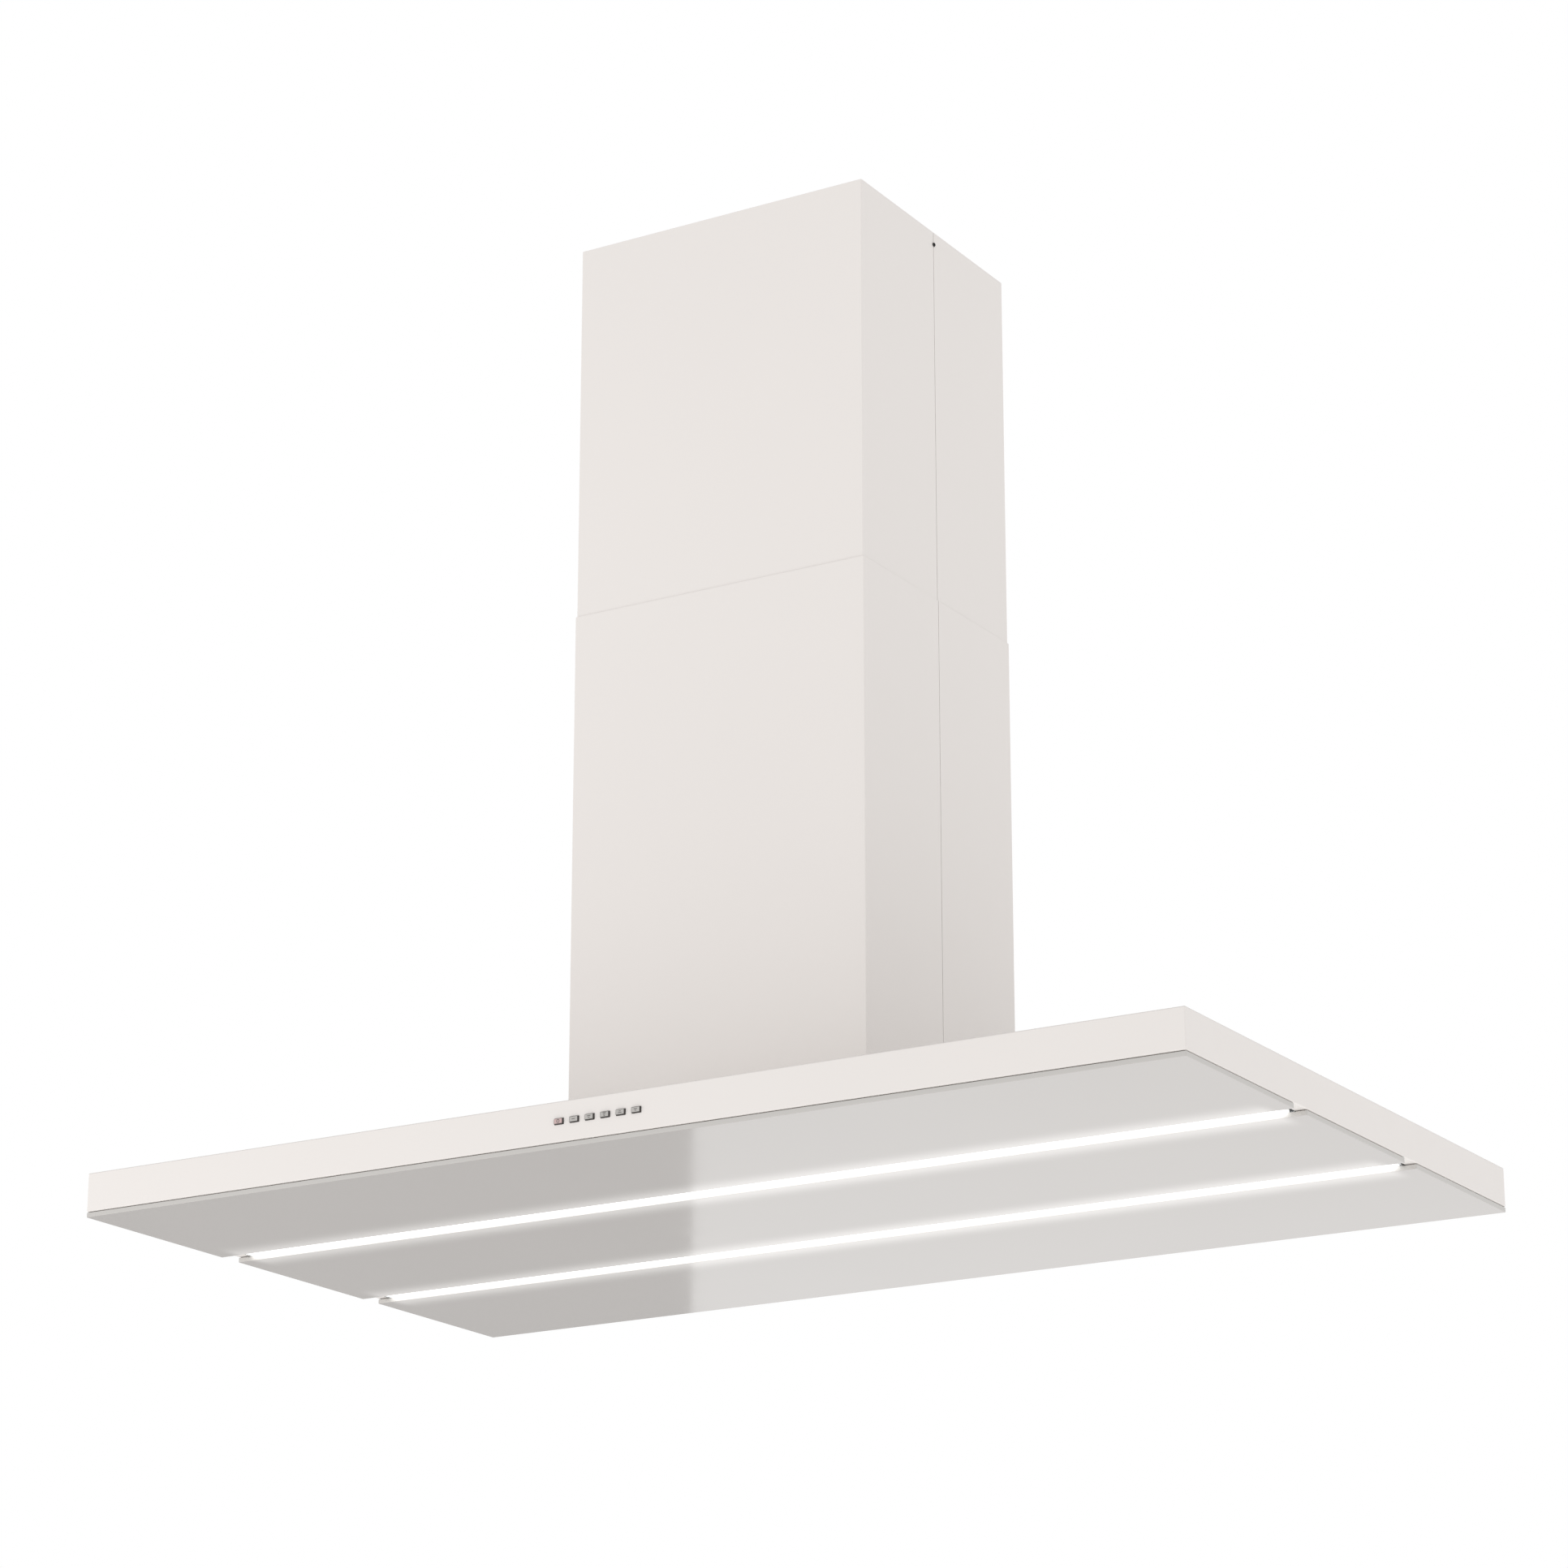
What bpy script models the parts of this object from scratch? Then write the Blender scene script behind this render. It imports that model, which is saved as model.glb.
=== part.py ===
"""Island range hood: telescopic chimney, flat canopy with three hinged glass panels, blower unit.

Metres, +Z up. The origin is the centre of the underside of the glass. +X is the long side and
-Y is the side with the push buttons.
"""
import math

import bmesh
import bpy
from mathutils import Matrix, Vector

# Overall sizes
CANOPY_LENGTH = 1.200
CANOPY_WIDTH = 0.700
CANOPY_SKIRT = 0.039
CHIMNEY_LENGTH = 0.338
CHIMNEY_WIDTH = 0.297
LOWER_COVER_HEIGHT = 0.564
UPPER_COVER_HEIGHT = 0.535
COVER_OVERLAP = 0.130

# Sheet thicknesses and clearances
GAP = 0.0003
CUT_MARGIN = 0.005
OVERLAP = 0.002
MERGE_DISTANCE = 0.00001
SHEET_SHARE = 0.8
CANOPY_SHEET = 0.001
COVER_SHEET = 0.0008
PAN_SHEET = 0.001
TRAY_SHEET = 0.001
FRAME_SHEET = 0.002
BOX_SHEET = 0.001

# Canopy and glass
RETURN_FLANGE = 0.012
GLASS_THICKNESS = 0.004
SHADOW_GAP = 0.0014
PANEL_SLOT = 0.027
TRAY_SLOT_INSET = 0.004
TRAY_FLANGE_CLEARANCE = 0.002
TRAY_RING = 0.022
TRAY_HEIGHT = 0.0067
PAN_CLEARANCE = 0.0183
PAN_UPSTAND = 0.010
CANOPY_DUCT_LENGTH = 0.270
CANOPY_DUCT_WIDTH = 0.230

# Panel hinges and catches
HINGE_HEIGHT = 0.0086
HINGE_OFFSET = 0.004
HINGE_EYE_RADIUS = 0.004
HINGE_STUD_RADIUS = 0.0018
HINGE_PLAY = 0.0003
HINGE_ARM = 0.002
ARM_SINK = 0.2
ARM_TOP_SHARE = 0.6
ARM_ROOT_SHARE = 0.6
HINGE_ARM_REACH = 0.020
RAIL_SHEET = 0.002
RAIL_FOOT_SHEET = 0.0015
RAIL_END_CLEARANCE = 0.025
MAGNET_LENGTH = 0.040
MAGNET_DEPTH = 0.010
MAGNET_X = 0.300

# Light bars
DIFFUSER_WIDTH = 0.026
DIFFUSER_SHEET = 0.0015
DIFFUSER_LEG = 0.0012
DIFFUSER_LEG_HEIGHT = 0.004
LAMP_END = 0.017
CHANNEL_WIDTH = 0.024
CHANNEL_WALL = 0.0015
BOARD_WIDTH = 0.018
BOARD_SHEET = 0.0016

# Push buttons
BUTTON_COUNT = 6
BUTTON_PITCH = 0.017
BUTTON_WIDTH = 0.0098
BUTTON_HEIGHT = 0.0056
BUTTON_CENTRE = 0.0197
BUTTON_STANDOUT = 0.002
BUTTON_CAP_DEPTH = 0.012
BUTTON_LIP = 0.0008
BUTTON_LIP_SHEET = 0.0015
BUTTON_STEM = 0.004
BUTTON_TRAVEL = 0.0015
HOUSING_MARGIN = 0.0065
HOUSING_HEIGHT = 0.023
HOUSING_DEPTH = 0.0237
HOUSING_WALL = 0.0015
NOTCH_CLEARANCE = 0.004
BOARD_BACK_GAP = 0.002
BOARD_SIDE_GAP = 0.001

# Support frames and ceiling plate
POST_LEG = 0.020
FRAME_RING = 0.020
FRAME_TOP_MARGIN = 0.0084
FRAME_BOTTOM_MARGIN = 0.004
CEILING_PLATE = 0.003
CEILING_DUCT_RADIUS = 0.085
FIXING_SLOT_LENGTH = 0.030
FIXING_SLOT_WIDTH = 0.008
FIXING_SLOT_INSET = 0.022
SCREW_DROP = 0.014
SCREW_HEAD_RADIUS = 0.00225
SCREW_HEAD_HEIGHT = 0.0012
SCREW_SHANK_RADIUS = 0.0015
SCREW_LENGTH = 0.008
SCREW_FACE_SHARE = 0.7

# Grease filters
FILTER_LENGTH = 0.250
FILTER_LAMP_CLEARANCE = 0.014
FILTER_THICKNESS = 0.009
FILTER_BORDER = 0.010
FILTER_SPACING = 0.005
FILTER_SEAT = 0.007
MESH_SET_BACK = 0.0005
FILTER_DROP = 0.0007
LATCH_WIDTH = 0.020
LATCH_LENGTH = 0.022
LATCH_SHEET = 0.002
LATCH_DROP = 0.0005
LATCH_ENGAGEMENT = 0.004
KEEPER_SHEET = 0.0015
KEEPER_DISTANCE = 0.0035
KEEPER_SIDE = 0.010
KEEPER_LIP = 0.0025

# Blower unit
BOX_LENGTH = 0.276
BOX_WIDTH = 0.236
BOX_HEIGHT = 0.285
SCROLL_MIN_RADIUS = 0.082
SCROLL_MAX_RADIUS = 0.108
SCROLL_CUTOFF = math.radians(40)
SCROLL_DEPTH = 0.120
SCROLL_WALL = 0.0015
SCROLL_AXIS_HEIGHT = 0.105
SCROLL_TOP_CLEARANCE = 0.006
INLET_RADIUS = 0.060
IMPELLER_RADIUS = 0.070
IMPELLER_WIDTH = 0.080
IMPELLER_RING = 0.003
BLADE_DEPTH = 0.012
BLADE_SHEET = 0.001
BLADE_COUNT = 24
HUB_RADIUS = 0.012
HUB_LENGTH = 0.010
SHAFT_RADIUS = 0.005
SHAFT_STICK_OUT = 0.001
MOTOR_WEB_GAP = 0.004
SHAFT_LENGTH = 0.040
MOTOR_RADIUS = 0.045
MOTOR_LENGTH = 0.069
SPIDER_SHEET = 0.002
SPIDER_RING = 0.005
SPIDER_ARM = 0.012
SPIDER_REACH = 0.074

# Outlet collar and damper
COLLAR_RADIUS = 0.075
COLLAR_WALL = 0.001
COLLAR_FLANGE = 0.018
COLLAR_FLANGE_SHEET = 0.0015
COLLAR_HEIGHT = 0.060
DAMPER_HEIGHT = 0.020
DAMPER_SHEET = 0.001
DAMPER_ROD_RADIUS = 0.002
ROD_STICK_OUT = 0.003
DAMPER_KNUCKLE_WALL = 0.0009
DAMPER_EDGE_CLEARANCE = 0.001
KNUCKLE_LENGTH = 0.030

# Electrical boxes
JUNCTION_LENGTH = 0.090
JUNCTION_HEIGHT = 0.070
JUNCTION_DEPTH = 0.018
JUNCTION_BASE = 0.060
DRIVER_LENGTH = 0.120
DRIVER_WIDTH = 0.040
DRIVER_HEIGHT = 0.016
DRIVER_X = 0.420

# Heights worked out from the sizes above
RIM_Z = GLASS_THICKNESS + SHADOW_GAP
CANOPY_TOP_Z = RIM_Z + CANOPY_SKIRT
STEP_Z = CANOPY_TOP_Z + LOWER_COVER_HEIGHT
UPPER_BASE_Z = STEP_Z - COVER_OVERLAP
CEILING_Z = UPPER_BASE_Z + UPPER_COVER_HEIGHT
PAN_Z = RIM_Z + PAN_CLEARANCE
TRAY_BASE_Z = GLASS_THICKNESS + GAP
TRAY_TOP_Z = TRAY_BASE_Z + TRAY_HEIGHT
BOX_BASE_Z = CANOPY_TOP_Z + GAP
BOX_TOP_Z = BOX_BASE_Z + BOX_HEIGHT
BUTTON_Z = RIM_Z + BUTTON_CENTRE

# Half sizes and positions across the hood
HALF_LENGTH = CANOPY_LENGTH / 2
HALF_WIDTH = CANOPY_WIDTH / 2
PANEL_WIDTH = (CANOPY_WIDTH - 2 * PANEL_SLOT) / 3
SLOT_Y = (PANEL_WIDTH + PANEL_SLOT) / 2
LAMP_HALF = HALF_LENGTH - LAMP_END
RAIL_X = HALF_LENGTH - RETURN_FLANGE
ARM_OUTER_X = RAIL_X - (1 - ARM_SINK) * HINGE_ARM
TRAY_HALF = ARM_OUTER_X - ARM_SINK * HINGE_ARM
LOWER_INNER = (CHIMNEY_LENGTH / 2 - COVER_SHEET, CHIMNEY_WIDTH / 2 - COVER_SHEET)
UPPER_OUTER = tuple(half - GAP for half in LOWER_INNER)
UPPER_POST = tuple(half - COVER_SHEET - GAP for half in UPPER_OUTER)
LOWER_POST = tuple(half - FRAME_SHEET - GAP for half in UPPER_POST)
FILTER_X = (FILTER_LENGTH + FILTER_SPACING) / 2
FILTER_WIDTH = 2 * (SLOT_Y - CHANNEL_WIDTH / 2 - FILTER_LAMP_CLEARANCE)
FILTER_TOP_Z = PAN_Z - FILTER_DROP
FILTER_BASE_Z = FILTER_TOP_Z - FILTER_THICKNESS
SCROLL_AXIS_Z = BOX_BASE_Z + SCROLL_AXIS_HEIGHT
SCROLL_X = (SCROLL_MAX_RADIUS - SCROLL_MIN_RADIUS * math.cos(SCROLL_CUTOFF)) / 2
SCROLL_TOP_Z = BOX_TOP_Z - SCROLL_TOP_CLEARANCE
COLLAR_BASE_Z = BOX_TOP_Z + GAP
DAMPER_Z = COLLAR_BASE_Z + DAMPER_HEIGHT

for leftover in list(bpy.data.objects):
    bpy.data.objects.remove(leftover, do_unlink=True)

HOOD = bpy.data.collections.new("island_range_hood")
CUTTERS = bpy.data.collections.new("cutters")
bpy.context.scene.collection.children.link(HOOD)
bpy.context.scene.collection.children.link(CUTTERS)


def make_material(name, colour, roughness, metallic=0.0):
    """Principled material of one colour."""
    material = bpy.data.materials.new(name)
    material.use_nodes = True
    shader = material.node_tree.nodes["Principled BSDF"]
    shader.inputs["Base Color"].default_value = (*colour, 1.0)
    shader.inputs["Roughness"].default_value = roughness
    shader.inputs["Metallic"].default_value = metallic
    return material


WHITE_PAINT = make_material("white_paint", (0.84, 0.82, 0.80), 0.32)
GLASS = make_material("white_backed_glass", (0.72, 0.69, 0.66), 0.06)
DIFFUSER = make_material("opal_diffuser", (0.95, 0.95, 0.93), 0.40)
GALVANISED = make_material("galvanised_steel", (0.58, 0.60, 0.61), 0.42, 1.0)
ALUMINIUM = make_material("aluminium", (0.78, 0.79, 0.80), 0.35, 1.0)
STEEL = make_material("zinc_plated_steel", (0.60, 0.61, 0.63), 0.30, 1.0)
DARK_STEEL = make_material("dark_screw_steel", (0.06, 0.06, 0.06), 0.40, 1.0)
GREY_BUTTON = make_material("grey_button", (0.62, 0.62, 0.62), 0.30)
RED_BUTTON = make_material("tinted_button", (0.70, 0.38, 0.36), 0.30)
BLACK_PLASTIC = make_material("black_plastic", (0.03, 0.03, 0.03), 0.50)
GREEN_BOARD = make_material("circuit_board", (0.04, 0.22, 0.09), 0.45)
GREY_PLASTIC = make_material("grey_plastic", (0.42, 0.43, 0.44), 0.50)


def add_object(name, mesh_data, material, collection=HOOD):
    """Puts a bmesh in the scene as a named object."""
    mesh = bpy.data.meshes.new(name)
    mesh_data.to_mesh(mesh)
    mesh_data.free()
    placed = bpy.data.objects.new(name, mesh)
    collection.objects.link(placed)
    if material:
        mesh.materials.append(material)
    return placed


def box_mesh(low, high):
    """Box between two corners."""
    low, high = Vector(low), Vector(high)
    data = bmesh.new()
    bmesh.ops.create_cube(data, size=1.0)
    bmesh.ops.scale(data, vec=high - low, verts=data.verts)
    bmesh.ops.translate(data, vec=(low + high) / 2, verts=data.verts)
    return data


def cylinder_mesh(centre, axis, radius, length, segments=24):
    """Cylinder centred on a point, along X, Y or Z."""
    turn = {"X": Matrix.Rotation(math.pi / 2, 3, "Y"), "Y": Matrix.Rotation(math.pi / 2, 3, "X"),
            "Z": Matrix.Identity(3)}[axis]
    data = bmesh.new()
    bmesh.ops.create_cone(data, cap_ends=True, segments=segments, radius1=radius, radius2=radius, depth=length)
    bmesh.ops.rotate(data, matrix=turn, verts=data.verts)
    bmesh.ops.translate(data, vec=centre, verts=data.verts)
    return data


def add_box(name, low, high, material):
    return add_object(name, box_mesh(low, high), material)


def combine(target, tool_mesh, operation):
    """Cuts a tool shape from the target, or joins it on, with an exact Boolean."""
    tool = add_object("tool_" + target.name, tool_mesh, None, CUTTERS)
    tool.hide_render = True
    tool.display_type = "WIRE"
    boolean = target.modifiers.new(operation.lower(), "BOOLEAN")
    boolean.operation = operation
    boolean.solver = "EXACT"
    boolean.object = tool


def cut_box(target, low, high):
    combine(target, box_mesh(low, high), "DIFFERENCE")


def join_box(target, low, high):
    combine(target, box_mesh(low, high), "UNION")


def cut_hole(target, centre, axis, radius, length, segments=24):
    combine(target, cylinder_mesh(centre, axis, radius, length, segments), "DIFFERENCE")


def join_cylinder(target, centre, axis, radius, length, segments=24):
    combine(target, cylinder_mesh(centre, axis, radius, length, segments), "UNION")


def thicken(target, thickness, offset=-1.0):
    """Sheet thickness on an open surface; -1 grows it behind the face."""
    solidify = target.modifiers.new("sheet", "SOLIDIFY")
    solidify.thickness = thickness
    solidify.offset = offset
    solidify.use_even_offset = True


def open_box_mesh(low, high, open_sides):
    """Box surface without the faces on the named sides, such as '-Z'."""
    data = box_mesh(low, high)
    data.normal_update()
    for side in open_sides:
        direction = Vector([(1 if side[0] == "+" else -1) * (side[1] == letter) for letter in "XYZ"])
        faces = [face for face in data.faces if face.normal.dot(direction) > 0.9]
        bmesh.ops.delete(data, geom=faces, context="FACES")
    return data


def extruded_bar(name, outline, axis, start, end, material):
    """Outline of two coordinates swept along X or Y. The outline is a 2D curve."""
    curve = bpy.data.curves.new(name, "CURVE")
    curve.dimensions = "2D"
    curve.fill_mode = "BOTH"
    curve.extrude = (end - start) / 2
    spline = curve.splines.new("POLY")
    spline.points.add(len(outline) - 1)
    for point, (across, up) in zip(spline.points, outline):
        point.co = (across, up, 0.0, 1.0)
    spline.use_cyclic_u = True
    drawn = bpy.data.objects.new(name + "_outline", curve)
    CUTTERS.objects.link(drawn)
    bpy.context.view_layer.update()
    evaluated = drawn.evaluated_get(bpy.context.evaluated_depsgraph_get())
    mesh = bpy.data.meshes.new_from_object(evaluated)
    data = bmesh.new()
    data.from_mesh(mesh)
    bmesh.ops.remove_doubles(data, verts=data.verts, dist=MERGE_DISTANCE)
    middle = (start + end) / 2
    if axis == "X":
        place = Matrix(((0, 0, 1, middle), (1, 0, 0, 0), (0, 1, 0, 0), (0, 0, 0, 1)))
    else:
        place = Matrix(((1, 0, 0, 0), (0, 0, -1, middle), (0, 1, 0, 0), (0, 0, 0, 1)))
    data.transform(place)
    bmesh.ops.recalc_face_normals(data, faces=data.faces)
    bpy.data.objects.remove(drawn, do_unlink=True)
    return add_object(name, data, material)


def turned(name, profile, steps, material, location, rotation=(0.0, 0.0, 0.0)):
    """Turned piece: (radius, height) points down the outer side, swept round Z."""
    data = bmesh.new()
    verts = [data.verts.new((radius, 0.0, height)) for radius, height in profile]
    for first, second in zip(verts, verts[1:]):
        data.edges.new((first, second))
    piece = add_object(name, data, material)
    screw = piece.modifiers.new("turn", "SCREW")
    screw.steps = steps
    screw.render_steps = steps
    screw.use_merge_vertices = True
    screw.merge_threshold = MERGE_DISTANCE
    piece.location = location
    piece.rotation_euler = rotation
    return piece


def set_origin(piece, point):
    """Moves an object's origin to a point and keeps its shape where it is."""
    piece.data.transform(Matrix.Translation(-Vector(point)))
    piece.location = point


# ---------------------------------------------------------------- ceiling frame


def make_ceiling_plate():
    half_x, half_y = UPPER_POST
    plate = add_box("ceiling_plate", (-half_x, -half_y, CEILING_Z - CEILING_PLATE),
                    (half_x, half_y, CEILING_Z), GALVANISED)
    cut_hole(plate, (0, 0, CEILING_Z), "Z", CEILING_DUCT_RADIUS, 4 * CEILING_PLATE, 40)
    for side_x in (-1, 1):
        for side_y in (-1, 1):
            x = side_x * (half_x - FIXING_SLOT_INSET - FIXING_SLOT_LENGTH / 2)
            y = side_y * (half_y - FIXING_SLOT_INSET)
            cut_box(plate, (x - FIXING_SLOT_LENGTH / 2, y - FIXING_SLOT_WIDTH / 2, CEILING_Z - 2 * CEILING_PLATE),
                    (x + FIXING_SLOT_LENGTH / 2, y + FIXING_SLOT_WIDTH / 2, CEILING_Z + CEILING_PLATE))


def make_post_frame(name, half, base, top):
    """Four angle posts joined by a ring at each end, folded from one sheet."""
    half_x, half_y = half
    tube = open_box_mesh((-half_x, -half_y, base), (half_x, half_y, top), ("+Z", "-Z"))
    frame = add_object(name, tube, GALVANISED)
    thicken(frame, FRAME_SHEET)
    low, high = base + FRAME_RING, top - FRAME_RING
    cut_box(frame, (-2 * half_x, POST_LEG - half_y, low), (2 * half_x, half_y - POST_LEG, high))
    cut_box(frame, (POST_LEG - half_x, -2 * half_y, low), (half_x - POST_LEG, 2 * half_y, high))
    return frame


def make_cover_half(name, half, base, top, side):
    """C-shaped half of a chimney cover; side is -1 for the front, +1 for the rear."""
    half_x, half_y = half
    inner, outer = side * GAP / 2, side * half_y
    sheet = open_box_mesh((-half_x, min(inner, outer), base), (half_x, max(inner, outer), top),
                          ("+Z", "-Z", "+Y" if side < 0 else "-Y"))
    cover = add_object(name, sheet, WHITE_PAINT)
    thicken(cover, COVER_SHEET)
    return cover


def make_chimney():
    screw_z = CEILING_Z - SCREW_DROP
    upper_frame = make_post_frame("upper_frame", UPPER_POST, UPPER_BASE_Z + FRAME_BOTTOM_MARGIN,
                                  CEILING_Z - CEILING_PLATE - GAP)
    make_post_frame("lower_frame", LOWER_POST, CANOPY_TOP_Z + GAP, STEP_Z - FRAME_TOP_MARGIN)
    hole_radius = SCREW_SHANK_RADIUS + GAP
    cut_hole(upper_frame, (0, 0, screw_z), "X", hole_radius, 2 * CHIMNEY_LENGTH, 16)
    for name, side in (("front", -1), ("rear", 1)):
        upper = make_cover_half("upper_cover_" + name, UPPER_OUTER, UPPER_BASE_Z, CEILING_Z, side)
        cut_hole(upper, (0, 0, screw_z), "X", hole_radius, 2 * CHIMNEY_LENGTH, 16)
        make_cover_half("lower_cover_" + name, (CHIMNEY_LENGTH / 2, CHIMNEY_WIDTH / 2),
                        CANOPY_TOP_Z + GAP, STEP_Z, side)
    for name, side in (("left", -1), ("right", 1)):
        profile = [(0.0, GAP + SCREW_HEAD_HEIGHT), (SCREW_FACE_SHARE * SCREW_HEAD_RADIUS, GAP + SCREW_HEAD_HEIGHT),
                   (SCREW_HEAD_RADIUS, GAP + SCREW_HEAD_HEIGHT / 2), (SCREW_HEAD_RADIUS, GAP),
                   (SCREW_SHANK_RADIUS, GAP), (SCREW_SHANK_RADIUS, -SCREW_LENGTH), (0.0, -SCREW_LENGTH)]
        turned("cover_screw_" + name, profile, 16, DARK_STEEL, (side * UPPER_OUTER[0], 0, screw_z),
               (0, side * math.pi / 2, 0))


# ---------------------------------------------------------------- canopy


def make_canopy_shell():
    """Folded sheet: flat top, skirt and a flange turned in round the rim."""
    half = Vector((HALF_LENGTH, HALF_WIDTH))
    sheet = open_box_mesh((-half.x, -half.y, RIM_Z), (half.x, half.y, CANOPY_TOP_Z), ("-Z",))
    rim = [edge for edge in sheet.edges if edge.is_boundary]
    folded = bmesh.ops.extrude_edge_only(sheet, edges=rim)["geom"]
    for vert in [item for item in folded if isinstance(item, bmesh.types.BMVert)]:
        vert.co.x -= math.copysign(RETURN_FLANGE, vert.co.x)
        vert.co.y -= math.copysign(RETURN_FLANGE, vert.co.y)
    bmesh.ops.recalc_face_normals(sheet, faces=sheet.faces)
    shell = add_object("canopy_shell", sheet, WHITE_PAINT)
    top_face = max(shell.data.polygons, key=lambda face: face.center.z)
    thicken(shell, CANOPY_SHEET, -1.0 if top_face.normal.z > 0 else 1.0)
    cut_box(shell, (-CANOPY_DUCT_LENGTH / 2, -CANOPY_DUCT_WIDTH / 2, CANOPY_TOP_Z - 5 * CANOPY_SHEET),
            (CANOPY_DUCT_LENGTH / 2, CANOPY_DUCT_WIDTH / 2, CANOPY_TOP_Z + 5 * CANOPY_SHEET))
    half_hole_x, half_hole_z = BUTTON_WIDTH / 2 + GAP, BUTTON_HEIGHT / 2 + GAP
    for x in button_places():
        cut_box(shell, (x - half_hole_x, -HALF_WIDTH - 5 * CANOPY_SHEET, BUTTON_Z - half_hole_z),
                (x + half_hole_x, -HALF_WIDTH + 5 * CANOPY_SHEET, BUTTON_Z + half_hole_z))


def button_places():
    return [(index - (BUTTON_COUNT - 1) / 2) * BUTTON_PITCH for index in range(BUTTON_COUNT)]


def housing_half():
    return button_places()[-1] + BUTTON_WIDTH / 2 + HOUSING_MARGIN


def make_canopy_pan():
    """Inner floor of the canopy, with filter openings and the latch keepers."""
    half_x, half_y = HALF_LENGTH - CANOPY_SHEET - GAP, HALF_WIDTH - CANOPY_SHEET - GAP
    pan = add_object("canopy_pan", open_box_mesh((-half_x, -half_y, PAN_Z),
                                                 (half_x, half_y, PAN_Z + PAN_UPSTAND), ("+Z",)), GALVANISED)
    thicken(pan, PAN_SHEET)
    notch_x = housing_half() + 2 * HOUSING_WALL
    cut_box(pan, (-notch_x, -half_y - CUT_MARGIN, PAN_Z - CUT_MARGIN),
            (notch_x, -half_y + HOUSING_DEPTH + NOTCH_CLEARANCE, PAN_Z + PAN_UPSTAND + CUT_MARGIN))
    open_x, open_y = FILTER_LENGTH / 2 - FILTER_SEAT, FILTER_WIDTH / 2 - FILTER_SEAT
    for side in (-1, 1):
        x = side * FILTER_X
        cut_box(pan, (x - open_x, -open_y, PAN_Z - CUT_MARGIN), (x + open_x, open_y, PAN_Z + CUT_MARGIN))
        near = side * (FILTER_X + FILTER_LENGTH / 2 + KEEPER_DISTANCE)
        far = near + side * KEEPER_SHEET
        keeper_y = LATCH_WIDTH / 2 + KEEPER_SIDE
        low_x, high_x = min(near, far), max(near, far)
        slot_low, slot_high = latch_heights()
        join_box(pan, (low_x, -keeper_y, slot_low - LATCH_DROP - KEEPER_LIP),
                 (high_x, keeper_y, PAN_Z + PAN_SHEET / 2))
        cut_box(pan, (low_x - OVERLAP, -LATCH_WIDTH / 2 - LATCH_DROP, slot_low - LATCH_DROP),
                (high_x + OVERLAP, LATCH_WIDTH / 2 + LATCH_DROP, slot_high + LATCH_DROP))


def make_hinge_rail(name, side):
    """Angle rail with three studs that the panels turn on; side is -1 left, +1 right."""
    base = RIM_Z + CANOPY_SHEET + GAP
    web_outer = RAIL_X + RAIL_SHEET
    foot_outer = HALF_LENGTH - CANOPY_SHEET - GAP
    half_y = HALF_WIDTH - RAIL_END_CLEARANCE
    outline = [(RAIL_X, base), (foot_outer, base), (foot_outer, base + RAIL_FOOT_SHEET),
               (web_outer, base + RAIL_FOOT_SHEET), (web_outer, PAN_Z - GAP), (RAIL_X, PAN_Z - GAP)]
    rail = extruded_bar(name, [(side * x, z) for x, z in outline], "Y", -half_y, half_y, STEEL)
    stud_inner = LAMP_HALF + GAP
    stud_outer = RAIL_X + RAIL_SHEET / 2
    for hinge_y in panel_hinges().values():
        join_cylinder(rail, (side * (stud_inner + stud_outer) / 2, hinge_y, HINGE_HEIGHT), "X",
                      HINGE_STUD_RADIUS, stud_outer - stud_inner, 16)


# ---------------------------------------------------------------- glass panels


def panel_edges():
    """Front and rear edge of each glass panel."""
    inner = PANEL_WIDTH / 2
    return {"front": (-HALF_WIDTH, -inner - PANEL_SLOT), "centre": (-inner, inner),
            "rear": (inner + PANEL_SLOT, HALF_WIDTH)}


def panel_hinges():
    """Y of each panel's hinge axis, just past the edge that it turns on."""
    edges = panel_edges()
    return {"front": edges["front"][1] + HINGE_OFFSET, "centre": edges["centre"][1] + HINGE_OFFSET,
            "rear": edges["rear"][0] - HINGE_OFFSET}


def tray_edges(name):
    low, high = panel_edges()[name]
    rim_inset = RETURN_FLANGE + TRAY_FLANGE_CLEARANCE
    low += rim_inset if name == "front" else TRAY_SLOT_INSET
    high -= rim_inset if name == "rear" else TRAY_SLOT_INSET
    return low, high


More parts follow.
